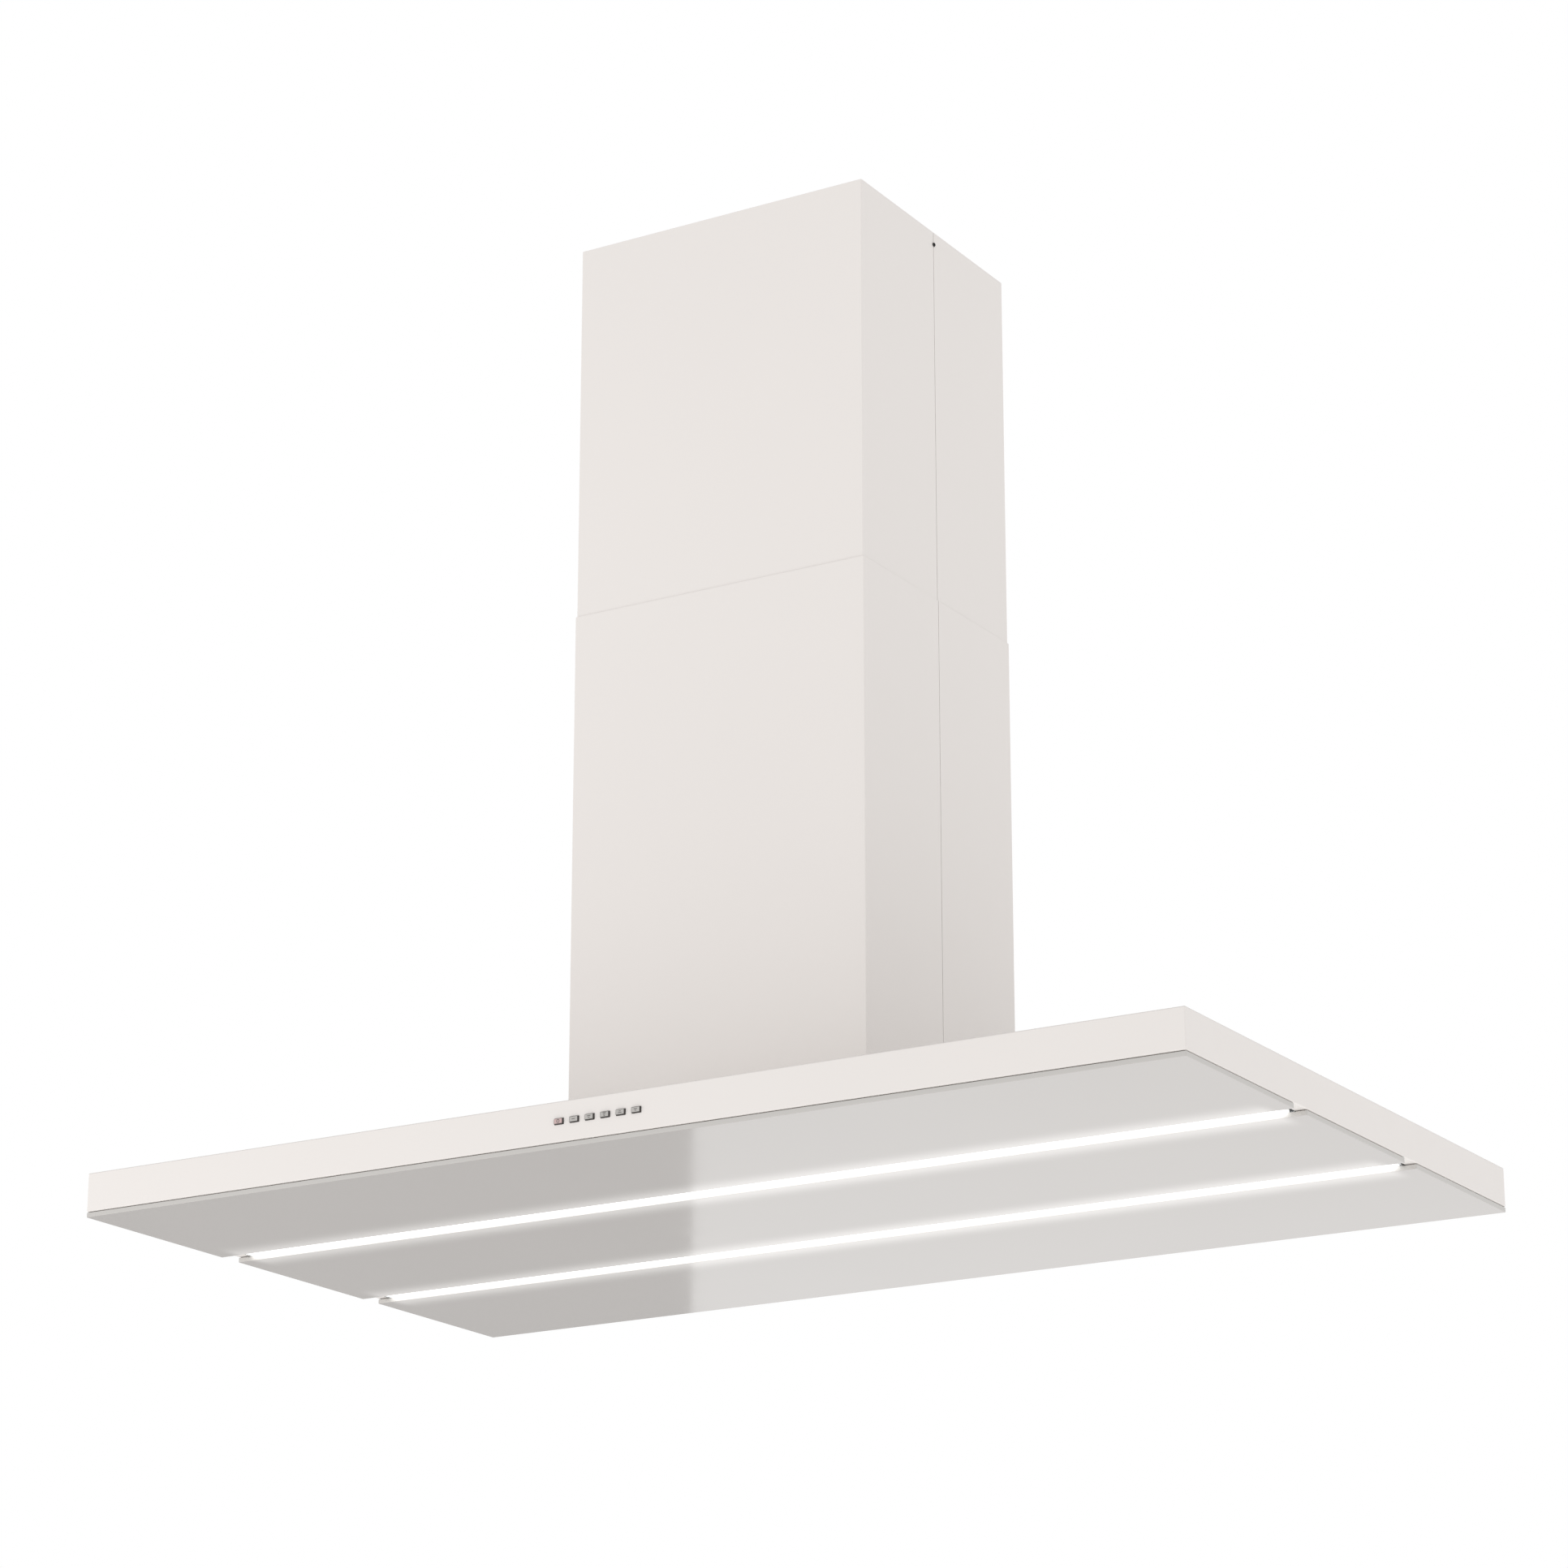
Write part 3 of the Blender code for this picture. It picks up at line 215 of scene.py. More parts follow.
def make_fine_skin():
    """Shader group for coated and moulded skins: cloudy mask, smudges and a fine rippled height."""
    group = bpy.data.node_groups.new("fine_skin", "ShaderNodeTree")
    side = group.interface.new_socket
    side("Ripple Scale", in_out="INPUT", socket_type="NodeSocketFloat").default_value = 600.0
    side("Cloud Scale", in_out="INPUT", socket_type="NodeSocketFloat").default_value = 6.0
    side("Cloud", in_out="OUTPUT", socket_type="NodeSocketFloat")
    side("Smudge", in_out="OUTPUT", socket_type="NodeSocketFloat")
    side("Height", in_out="OUTPUT", socket_type="NodeSocketFloat")
    nodes = group.nodes
    join = group.links.new
    given = nodes.new("NodeGroupInput")
    result = nodes.new("NodeGroupOutput")
    place = nodes.new("ShaderNodeTexCoord")
    cloud = nodes.new("ShaderNodeTexNoise")
    cloud.inputs["Detail"].default_value = 4.0
    join(place.outputs["Object"], cloud.inputs["Vector"])
    join(given.outputs["Cloud Scale"], cloud.inputs["Scale"])
    join(cloud.outputs["Fac"], result.inputs["Cloud"])
    smudge = nodes.new("ShaderNodeTexNoise")
    smudge.inputs["Scale"].default_value = 23.0
    smudge.inputs["Detail"].default_value = 6.0
    smudge.inputs["Distortion"].default_value = 0.8
    join(place.outputs["Object"], smudge.inputs["Vector"])
    patches = nodes.new("ShaderNodeMapRange")
    patches.inputs["From Min"].default_value = 0.42
    patches.inputs["From Max"].default_value = 0.68
    join(smudge.outputs["Fac"], patches.inputs["Value"])
    join(patches.outputs["Result"], result.inputs["Smudge"])
    ripple = nodes.new("ShaderNodeTexNoise")
    ripple.inputs["Detail"].default_value = 2.0
    join(place.outputs["Object"], ripple.inputs["Vector"])
    join(given.outputs["Ripple Scale"], ripple.inputs["Scale"])
    join(ripple.outputs["Fac"], result.inputs["Height"])
    return group


fine_skin = make_fine_skin()


def add_skin(nodes, join, shader, ripple_scale, depth, cloud_scale=6.0):
    """Puts the skin group in a material and gives its bump to the shader."""
    skin = nodes.new("ShaderNodeGroup")
    skin.node_tree = fine_skin
    skin.inputs["Ripple Scale"].default_value = ripple_scale
    skin.inputs["Cloud Scale"].default_value = cloud_scale
    bump = nodes.new("ShaderNodeBump")
    bump.inputs["Distance"].default_value = depth
    bump.inputs["Strength"].default_value = 0.6
    join(skin.outputs["Height"], bump.inputs["Height"])
    join(bump.outputs["Normal"], shader.inputs["Normal"])
    return skin


def white_powder_coat():
    """Warm white satin coat with orange peel and a little handling haze."""
    material, nodes, join, shader = new_material("white_powder_coat")
    skin = add_skin(nodes, join, shader, 420.0, 0.00002, 3.0)
    colour = tint_by(nodes, join, skin.outputs["Cloud"], (0.83, 0.79, 0.762), (0.855, 0.813, 0.782))
    join(colour, shader.inputs["Base Color"])
    join(span(nodes, join, skin.outputs["Smudge"], 0.33, 0.43), shader.inputs["Roughness"])
    shader.inputs["Specular IOR Level"].default_value = 0.35
    return material


white_coat = white_powder_coat()


def finished_piece(name, shape, material, body, slot, *cad_nodes, edge=0.0, segments=2):
    """Turns a bmesh into a piece that rides on a body and stands for the CAD nodes named."""
    mesh = bpy.data.meshes.new(name)
    shape.to_mesh(mesh)
    shape.free()
    mesh.materials.append(material)
    made = bpy.data.objects.new(name, mesh)
    scene.collection.objects.link(made)
    mesh.shade_smooth()
    if edge:
        rounding = made.modifiers.new("rounded_edges", "BEVEL")
        rounding.width = edge
        rounding.segments = segments
        rounding.limit_method = "ANGLE"
        rounding.angle_limit = math.radians(BEVEL_ANGLE)
        rounding.harden_normals = True
    flat = made.modifiers.new("flat_faces", "WEIGHTED_NORMAL")
    flat.keep_sharp = True
    mesh.set_sharp_from_angle(angle=math.radians(ROUNDED_SHARP_ANGLE if edge else SHARP_ANGLE))
    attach(made, body)
    if cad_nodes:
        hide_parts(*cad_nodes)
    return made


def add_block(shape, low, high):
    """Adds a box between two corners to a shape."""
    low, high = Vector(low), Vector(high)
    verts = bmesh.ops.create_cube(shape, size=1.0)["verts"]
    bmesh.ops.scale(shape, vec=high - low, verts=verts)
    bmesh.ops.translate(shape, vec=(low + high) / 2, verts=verts)


def block(low, high):
    """Plain box between two corners, to be shaped further."""
    shape = bmesh.new()
    add_block(shape, low, high)
    shape.normal_update()
    return shape


def facing_faces(shape, direction, at=None):
    """Faces that look along a direction, and lie at a place along it if one is given."""
    direction = Vector(direction)
    found = [face for face in shape.faces if face.normal.dot(direction) > 0.9]
    if at is not None:
        found = [face for face in found if abs(face.calc_center_median().dot(direction) - at) < 0.2 * MM]
    return found


def round_edges(shape, edges, width, segments=3):
    """Rounds chosen edges to a width."""
    bmesh.ops.bevel(shape, geom=list(edges), offset=width, segments=segments, profile=0.5,
                    affect="EDGES", material=-1)
    shape.normal_update()


def upright_edges(shape):
    """Edges that run up and down."""
    return [edge for edge in shape.edges
            if abs((edge.verts[0].co - edge.verts[1].co).normalized().z) > 0.9]


def make_cover(node, side):
    """C-shaped half cover with rounded folds; side is -1 in front, +1 behind."""
    low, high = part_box(node)
    shape = block(low, high)
    open_sides = ((0, 0, 1), (0, 0, -1), (0, -side, 0))
    doomed = [face for direction in open_sides for face in facing_faces(shape, direction)]
    bmesh.ops.delete(shape, geom=doomed, context="FACES")
    outer_y = low.y if side < 0 else high.y
    folds = [edge for edge in upright_edges(shape) if abs(edge.verts[0].co.y - outer_y) < MM]
    round_edges(shape, folds, SHEET_FOLD, 5)
    for vert in shape.verts:
        if abs(vert.co.y) < MM:
            vert.co.y += side * SEAM_HALF
    bmesh.ops.solidify(shape, geom=shape.faces[:], thickness=COVER_SHEET)
    return shape


for body, level in (("ceiling_frame", "upper"), ("hood", "lower")):
    for half, side in (("front", -1), ("rear", 1)):
        node = level + "_cover_" + half
        finished_piece(level + "_chimney_" + half, make_cover(node, side), white_coat, body, "white_paint",
                       node, edge=CUT_EDGE)

# ======================================================================================
# Seam screws. One pan-head screw on each narrow side pins both cover halves to the
# support frame. Blackened steel with a socket in the head.
# ======================================================================================
SOCKET_SHARE = 0.42
SOCKET_DEPTH = 0.8 * MM
HEAD_HEIGHT = 1.2 * MM
HEAD_FLAT_SHARE = 0.72
HEAD_SHOULDER_SHARE = 0.93
SHANK_SHARE = 0.65
ROOT_SHARE = 0.82
TIP_SHARE = 0.6
TIP_LENGTH = 0.3 * MM
THREAD_PITCH = 0.6 * MM


def turned_shape(profile, centre, direction, steps=32):
    """Turned solid from (radius, distance along the axis) points."""
    shape = bmesh.new()
    points = [shape.verts.new((radius, 0.0, along)) for radius, along in profile]
    outline = [shape.edges.new(pair) for pair in zip(points, points[1:])]
    bmesh.ops.spin(shape, geom=points + outline, cent=(0, 0, 0), axis=(0, 0, 1), angle=2 * math.pi,
                   steps=steps, use_merge=True)
    bmesh.ops.remove_doubles(shape, verts=shape.verts, dist=0.000001)
    bmesh.ops.recalc_face_normals(shape, faces=shape.faces)
    turn = Vector(direction).to_track_quat("Z", "Y").to_matrix().to_4x4()
    shape.transform(Matrix.Translation(centre) @ turn)
    shape.normal_update()
    return shape


def dark_screw_steel():
    """Oil-blackened steel, slightly mottled."""
    material, nodes, join, shader = new_material("blackened_steel")
    skin = add_skin(nodes, join, shader, 1800.0, 0.00001, 90.0)
    join(tint_by(nodes, join, skin.outputs["Cloud"], (0.02, 0.02, 0.022), (0.07, 0.066, 0.062)),
         shader.inputs["Base Color"])
    join(span(nodes, join, skin.outputs["Cloud"], 0.28, 0.5), shader.inputs["Roughness"])
    shader.inputs["Metallic"].default_value = 1.0
    return material


screw_steel = dark_screw_steel()
for side_name, side in (("left", -1), ("right", 1)):
    low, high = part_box("cover_screw_" + side_name)
    radius = (high.z - low.z) / 2
    outer, inner = (high.x, low.x) if side > 0 else (low.x, high.x)
    length = abs(outer - inner)
    shank = SHANK_SHARE * radius
    profile = [(0.0, length - SOCKET_DEPTH), (SOCKET_SHARE * radius, length - SOCKET_DEPTH),
               (SOCKET_SHARE * radius, length), (HEAD_FLAT_SHARE * radius, length),
               (HEAD_SHOULDER_SHARE * radius, length - 0.35 * HEAD_HEIGHT),
               (radius, length - 0.75 * HEAD_HEIGHT), (radius, length - HEAD_HEIGHT),
               (shank, length - HEAD_HEIGHT)]
    turns = int((length - HEAD_HEIGHT - MM) / THREAD_PITCH)
    for turn in range(turns):
        base = length - HEAD_HEIGHT - 0.2 * MM - turn * THREAD_PITCH
        profile += [(shank, base), (ROOT_SHARE * shank, base - THREAD_PITCH / 2)]
    profile += [(TIP_SHARE * shank, TIP_LENGTH), (0.0, 0.0)]
    screw = turned_shape(profile, (inner, (low.y + high.y) / 2, (low.z + high.z) / 2), (side, 0, 0), 24)
    finished_piece("seam_screw_" + side_name, screw, screw_steel, "ceiling_frame", "dark_screw_steel",
                   "cover_screw_" + side_name)

# ======================================================================================
# Canopy shell. One 1 mm sheet folded into a flat box, with a flange turned in round the
# rim, welded and ground corners, six windows for the buttons and an opening on top.
# ======================================================================================
CANOPY_SHEET = 1.0 * MM
CANOPY_FOLD = 1.3 * MM
RIM_FLANGE = 12.0 * MM
BUTTON_PLAY = 0.3 * MM
DUCT_OPENING = (270 * MM, 230 * MM)
BUTTON_NODES = ["button_" + str(number) for number in range(1, 7)]
BUTTON_LIP = 0.8 * MM


def cut_across(shape, faces, place, normal):
    """Cuts chosen faces with a plane."""
    geometry = set(faces)
    for face in faces:
        geometry.update(face.edges)
        geometry.update(face.verts)
    bmesh.ops.bisect_plane(shape, geom=list(geometry), dist=0.000001, plane_co=place, plane_no=normal)
    shape.normal_update()


def cut_window(shape, direction, at, axes, low, high):
    """Rectangular hole in the flat face that looks along a direction."""
    for axis in axes:
        normal = Vector([1.0 if index == axis else 0.0 for index in range(3)])
        for value in (low[axis], high[axis]):
            cut_across(shape, facing_faces(shape, direction, at), normal * value, normal)
    inside = [face for face in facing_faces(shape, direction, at)
              if all(low[axis] < face.calc_center_median()[axis] < high[axis] for axis in axes)]
    bmesh.ops.delete(shape, geom=inside, context="FACES")


def sharp_folds(shape, degrees=60):
    """Edges at which two faces meet at more than an angle."""
    return [edge for edge in shape.edges if len(edge.link_faces) == 2
            and edge.calc_face_angle() > math.radians(degrees)]


low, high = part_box("canopy_shell")
canopy = block(low, high)
bmesh.ops.delete(canopy, geom=facing_faces(canopy, (0, 0, -1)), context="FACES")
rim = [edge for edge in canopy.edges if edge.is_boundary]
folded = bmesh.ops.extrude_edge_only(canopy, edges=rim)["geom"]
for vert in [item for item in folded if isinstance(item, bmesh.types.BMVert)]:
    vert.co.x -= math.copysign(RIM_FLANGE, vert.co.x)
    vert.co.y -= math.copysign(RIM_FLANGE, vert.co.y)
bmesh.ops.recalc_face_normals(canopy, faces=canopy.faces)
if max(canopy.faces, key=lambda face: face.calc_center_median().z).normal.z < 0:
    bmesh.ops.reverse_faces(canopy, faces=canopy.faces)
canopy.normal_update()
round_edges(canopy, sharp_folds(canopy), CANOPY_FOLD, 5)
for node in BUTTON_NODES:
    button_low, button_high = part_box(node)
    inset = BUTTON_LIP - BUTTON_PLAY
    cut_window(canopy, (0, -1, 0), -low.y, (0, 2), button_low + Vector((inset, 0, inset)),
               button_high - Vector((inset, 0, inset)))
half_x, half_y = DUCT_OPENING[0] / 2, DUCT_OPENING[1] / 2
cut_window(canopy, (0, 0, 1), high.z, (0, 1), (-half_x, -half_y, 0), (half_x, half_y, 0))
bmesh.ops.solidify(canopy, geom=canopy.faces[:], thickness=CANOPY_SHEET)
finished_piece("canopy", canopy, white_coat, "hood", "white_paint", "canopy_shell", edge=CUT_EDGE)

# ======================================================================================
# Glass panels. 4 mm float glass with grey-white paint and tape on its back, polished
# edges and nipped corners. Painted light: emission on the slot edges and in a band beside
# each slot stands in for lamp light carried in the glass.
# ======================================================================================
GLASS_CORNER = 1.2 * MM
GLASS_ARRIS = 0.45 * MM
# Reach, fade and strength of the painted glow (emission) on the glass.
PAINTED_GLOW_REACH = 60.0 * MM
PAINTED_GLASS = 4.7 * MM
SLOT_EDGE = 13.5 * MM
PAINTED_GLOW_FADE = 3.0
PAINTED_FACE_GLOW = 0.20
PAINTED_EDGE_GLOW = 0.8
PANEL_NODES = {"front": "front_panel", "centre": "centre_panel", "rear": "rear_panel"}
slot_centre = (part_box("glass_panel_centre")[1].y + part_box("glass_panel_rear")[0].y) / 2
lamp_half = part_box("led_diffuser_front")[1].x


def compute(nodes, join, operation, first, second=None):
    """One Math node; each input is a socket or a number."""
    sum_node = nodes.new("ShaderNodeMath")
    sum_node.operation = operation
    for socket, value in zip(sum_node.inputs, (first, second)):
        if value is None:
            continue
        if isinstance(value, (int, float)):
            socket.default_value = value
        else:
            join(value, socket)
    return sum_node.outputs["Value"]


def ramp_between(nodes, join, value, start, end, smooth=True):
    """Mask that goes from 0 at start to 1 at end."""
    reach = nodes.new("ShaderNodeMapRange")
    reach.interpolation_type = "SMOOTHSTEP" if smooth else "LINEAR"
    reach.inputs["From Min"].default_value = start
    reach.inputs["From Max"].default_value = end
    join(value, reach.inputs["Value"])
    return reach.outputs["Result"]


def back_painted_glass():
    """Glossy painted glass; its slot edges and a band beside each slot glow with painted light from the
    material's own emission.
    """
    material, nodes, join, shader = new_material("back_painted_glass")
    place = nodes.new("ShaderNodeTexCoord")
    parts = nodes.new("ShaderNodeSeparateXYZ")
    join(place.outputs["Object"], parts.inputs["Vector"])
    from_middle = compute(nodes, join, "ABSOLUTE", parts.outputs["Y"])
    from_slot = compute(nodes, join, "ABSOLUTE", compute(nodes, join, "SUBTRACT", from_middle, slot_centre))
    along = compute(nodes, join, "ABSOLUTE", parts.outputs["X"])
    # Painted light: emission on the glass, strongest at each slot edge and fading across the face and past
    # the lamp ends, stands in for lamp light in the glass.
    lit = ramp_between(nodes, join, along, lamp_half + 4 * MM, lamp_half - 12 * MM)
    glow_near_slot = ramp_between(nodes, join, from_slot, SLOT_EDGE + PAINTED_GLOW_REACH, SLOT_EDGE)
    glow_near_slot = compute(nodes, join, "POWER", glow_near_slot, PAINTED_GLOW_FADE)
    painted_glow = compute(nodes, join, "MULTIPLY", glow_near_slot, lit)
    # Painted highlight: the glass face towards each slot glows, brighter towards its upper side.
    slot_face = ramp_between(nodes, join, from_slot, SLOT_EDGE + 0.25 * MM, SLOT_EDGE + 0.1 * MM)
    upper = ramp_between(nodes, join, parts.outputs["Z"], 0.0, PAINTED_GLASS)
    painted_edge_glow = compute(nodes, join, "MULTIPLY", compute(nodes, join, "MULTIPLY", slot_face, lit), upper)
    facing = nodes.new("ShaderNodeSeparateXYZ")
    join(place.outputs["Normal"], facing.inputs["Vector"])
    edge = ramp_between(nodes, join, compute(nodes, join, "ABSOLUTE", facing.outputs["Z"]), 0.9, 0.5)
    cloud = nodes.new("ShaderNodeTexNoise")
    cloud.inputs["Scale"].default_value = 4.0
    join(place.outputs["Object"], cloud.inputs["Vector"])
    face_colour = tint_by(nodes, join, cloud.outputs["Fac"], (0.48, 0.452, 0.432), (0.50, 0.472, 0.45))
    colour = nodes.new("ShaderNodeMix")
    colour.data_type = "RGBA"
    colour.inputs["B"].default_value = (0.57, 0.55, 0.525, 1.0)
    join(face_colour, colour.inputs["A"])
    join(edge, colour.inputs["Factor"])
    join(colour.outputs["Result"], shader.inputs["Base Color"])
    haze = nodes.new("ShaderNodeTexNoise")
    haze.inputs["Scale"].default_value = 18.0
    haze.inputs["Detail"].default_value = 5.0
    join(place.outputs["Object"], haze.inputs["Vector"])
    join(span(nodes, join, haze.outputs["Fac"], 0.03, 0.10), shader.inputs["Roughness"])
    light = compute(nodes, join, "ADD", compute(nodes, join, "MULTIPLY", painted_glow, PAINTED_FACE_GLOW),
                    compute(nodes, join, "MULTIPLY", painted_edge_glow, PAINTED_EDGE_GLOW))
    join(tint_by(nodes, join, light, (0, 0, 0), (1.0, 1.0, 0.985)), shader.inputs["Emission Color"])
    shader.inputs["Emission Strength"].default_value = 1.0
    shader.inputs["IOR"].default_value = 1.52
    return material


panel_glass = back_painted_glass()
for name, body in PANEL_NODES.items():
    low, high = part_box("glass_panel_" + name)
    glass = block(low, (high.x, high.y, low.z + PAINTED_GLASS))
    round_edges(glass, upright_edges(glass), GLASS_CORNER, 3)
    flats = facing_faces(glass, (0, 0, 1)) + facing_faces(glass, (0, 0, -1))
    round_edges(glass, {edge for face in flats for edge in face.edges}, GLASS_ARRIS, 2)
    finished_piece("glass_" + name, glass, panel_glass, body, "white_backed_glass", "glass_panel_" + name)

# ======================================================================================
# Light bars. Opal acrylic covers close the slots just proud of the rim; the front one is two
# lengths that butt right of the middle. Behind them, an LED strip in an aluminium channel.
# ======================================================================================
COVER_BUTT_X = 79.0 * MM
COVER_BUTT_GAP = 1.0 * MM
COVER_LEG = 1.2 * MM
COVER_LEG_INSET = 1.8 * MM
COVER_SEAT = 0.3 * MM
COVER_ROUND = 0.3 * MM
COVER_PROUD = 0.8 * MM
COVER_SPREAD = 0.3 * MM
CHIP_PITCH = 16.6 * MM
CHIP_SIZE = (2.8 * MM, 3.5 * MM, 0.7 * MM)
CHIP_START = 0.7
LAMP_FADE = 10 * MM


def opal_acrylic():
    """Evenly lit milky acrylic, a touch dimmer towards the ends of the strip."""
    material, nodes, join, shader = new_material("opal_acrylic")
    place = nodes.new("ShaderNodeTexCoord")
    parts = nodes.new("ShaderNodeSeparateXYZ")
    join(place.outputs["Object"], parts.inputs["Vector"])
    along = compute(nodes, join, "ABSOLUTE", parts.outputs["X"])
    inside = ramp_between(nodes, join, along, lamp_half, lamp_half - LAMP_FADE)
    grain = nodes.new("ShaderNodeTexNoise")
    grain.inputs["Scale"].default_value = 900.0
    join(place.outputs["Object"], grain.inputs["Vector"])
    join(tint_by(nodes, join, grain.outputs["Fac"], (0.86, 0.86, 0.85), (0.92, 0.92, 0.91)),
         shader.inputs["Base Color"])
    join(tint_by(nodes, join, inside, (0.55, 0.55, 0.54), (1.0, 1.0, 0.985)), shader.inputs["Emission Color"])
    shader.inputs["Emission Strength"].default_value = 1.25
    shader.inputs["Roughness"].default_value = 0.45
    return material


def extruded_along_x(outline, start, end):
    """Closed outline of (y, z) points drawn out along X."""
    shape = bmesh.new()
    face = shape.faces.new([shape.verts.new((start, y, z)) for y, z in outline])
    drawn = bmesh.ops.extrude_face_region(shape, geom=[face], use_keep_orig=True)["geom"]
    for vert in [item for item in drawn if isinstance(item, bmesh.types.BMVert)]:
        vert.co.x = end
    bmesh.ops.recalc_face_normals(shape, faces=shape.faces)
    shape.normal_update()
    return shape


def printed_board(name, dark, light, pad, copper_scale):
    """Solder mask over copper tracks, with tinned pads."""
    material, nodes, join, shader = new_material(name)
    place = nodes.new("ShaderNodeTexCoord")
    tracks = nodes.new("ShaderNodeTexBrick")
    tracks.inputs["Scale"].default_value = copper_scale
    tracks.inputs["Mortar Size"].default_value = 0.05
    tracks.inputs["Color1"].default_value = (*dark, 1.0)
    tracks.inputs["Color2"].default_value = (*dark, 1.0)
    tracks.inputs["Mortar"].default_value = (*light, 1.0)
    join(place.outputs["Object"], tracks.inputs["Vector"])
    pads = nodes.new("ShaderNodeTexVoronoi")
    pads.inputs["Scale"].default_value = copper_scale * 5
    join(place.outputs["Object"], pads.inputs["Vector"])
    dot = ramp_between(nodes, join, pads.outputs["Distance"], 0.16, 0.12, False)
    colour = nodes.new("ShaderNodeMix")
    colour.data_type = "RGBA"
    colour.inputs["B"].default_value = (*pad, 1.0)
    join(dot, colour.inputs["Factor"])
    join(tracks.outputs["Color"], colour.inputs["A"])
    join(colour.outputs["Result"], shader.inputs["Base Color"])
    join(span(nodes, join, dot, 0.38, 0.22), shader.inputs["Roughness"])
    join(compute(nodes, join, "MULTIPLY", dot, 0.9), shader.inputs["Metallic"])
    return material


def brushed_metal(name, dark, light, stretch, roughness, scale=1.0):
    """Bare metal with fine lines drawn along one direction."""
    material, nodes, join, shader = new_material(name)
    place = nodes.new("ShaderNodeTexCoord")
    pull = nodes.new("ShaderNodeMapping")
    pull.inputs["Scale"].default_value = [value * scale for value in stretch]
    join(place.outputs["Object"], pull.inputs["Vector"])
    lines = nodes.new("ShaderNodeTexNoise")
    lines.inputs["Scale"].default_value = 1.0
    lines.inputs["Detail"].default_value = 5.0
    join(pull.outputs["Vector"], lines.inputs["Vector"])
    join(tint_by(nodes, join, lines.outputs["Fac"], dark, light), shader.inputs["Base Color"])
    join(span(nodes, join, lines.outputs["Fac"], roughness - 0.09, roughness + 0.09),
         shader.inputs["Roughness"])
    bump = nodes.new("ShaderNodeBump")
    bump.inputs["Distance"].default_value = 0.00002
    join(lines.outputs["Fac"], bump.inputs["Height"])
    join(bump.outputs["Normal"], shader.inputs["Normal"])
    shader.inputs["Metallic"].default_value = 1.0
    return material


opal = opal_acrylic()
drawn_aluminium = brushed_metal("drawn_aluminium", (0.62, 0.63, 0.64), (0.82, 0.83, 0.84),
                                (3, 900, 900), 0.32)
light_board = printed_board("white_light_board", (0.78, 0.78, 0.76), (0.66, 0.66, 0.62),
                            (0.75, 0.72, 0.62), 30.0)
for name in ("front", "rear"):
    low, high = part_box("led_diffuser_" + name)
    channel_low, channel_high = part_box("led_channel_" + name)
    plate_top = channel_low.z - COVER_SEAT
    middle = (low.y + high.y) / 2
    side = high.y + COVER_SPREAD
    leg_out = middle + (channel_high.y - channel_low.y) / 2 - COVER_LEG_INSET
    leg_in = leg_out - COVER_LEG
    half_outline = [(side, low.z - COVER_PROUD), (side, plate_top), (leg_out, plate_top),
                    (leg_out, high.z), (leg_in, high.z), (leg_in, plate_top)]
    outline = half_outline + [(2 * middle - y, z) for y, z in reversed(half_outline)]
    lengths = [(low.x, high.x)]
    if name == "front":
        lengths = [(low.x, COVER_BUTT_X - COVER_BUTT_GAP / 2), (COVER_BUTT_X + COVER_BUTT_GAP / 2, high.x)]
    for number, (start, end) in enumerate(lengths, 1):
        cover = extruded_along_x(outline, start, end)
        finished_piece("light_cover_" + name + "_" + str(number), cover, opal, "hood", "opal_diffuser",
                       "led_diffuser_" + name, edge=COVER_ROUND)
    low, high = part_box("led_board_" + name)
    strip = block(low, high)
    for index in range(int((high.x - low.x) / CHIP_PITCH)):
        centre = Vector((low.x + (index + CHIP_START) * CHIP_PITCH, middle, low.z - CHIP_SIZE[2] / 2))
        add_block(strip, centre - Vector(CHIP_SIZE) / 2, centre + Vector(CHIP_SIZE) / 2)
    finished_piece("led_strip_" + name, strip, light_board, "hood", "circuit_board", "led_board_" + name)
    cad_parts["led_channel_" + name].data.materials.clear()
    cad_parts["led_channel_" + name].data.materials.append(drawn_aluminium)

# ======================================================================================
# Push buttons. Six moulded caps in a row stand out of the canopy front. Each has a light
# face, near-black painted shade on its sides, a lip behind the sheet, a stem, and a simple mark printed on
# it.
# ======================================================================================
CAP_ROUND = 0.8 * MM
CAP_BACK = 12.0 * MM
LIP_SHEET = 1.5 * MM
CAP_STEM = 2.0 * MM
MARK_PROUD = 0.04 * MM
MARK_LINE = 0.7 * MM
MARK_LONG = 3.6 * MM
MARK_STEP = 1.5 * MM
RING_RADIUS = 1.7 * MM
RING_INNER_SHARE = 0.62
MARK_ROWS = {2: (1.0,), 3: (0.6, 1.0), 4: (0.4, 0.7, 1.0), 5: (1.0, 0.6), 6: (0.5, 1.0)}


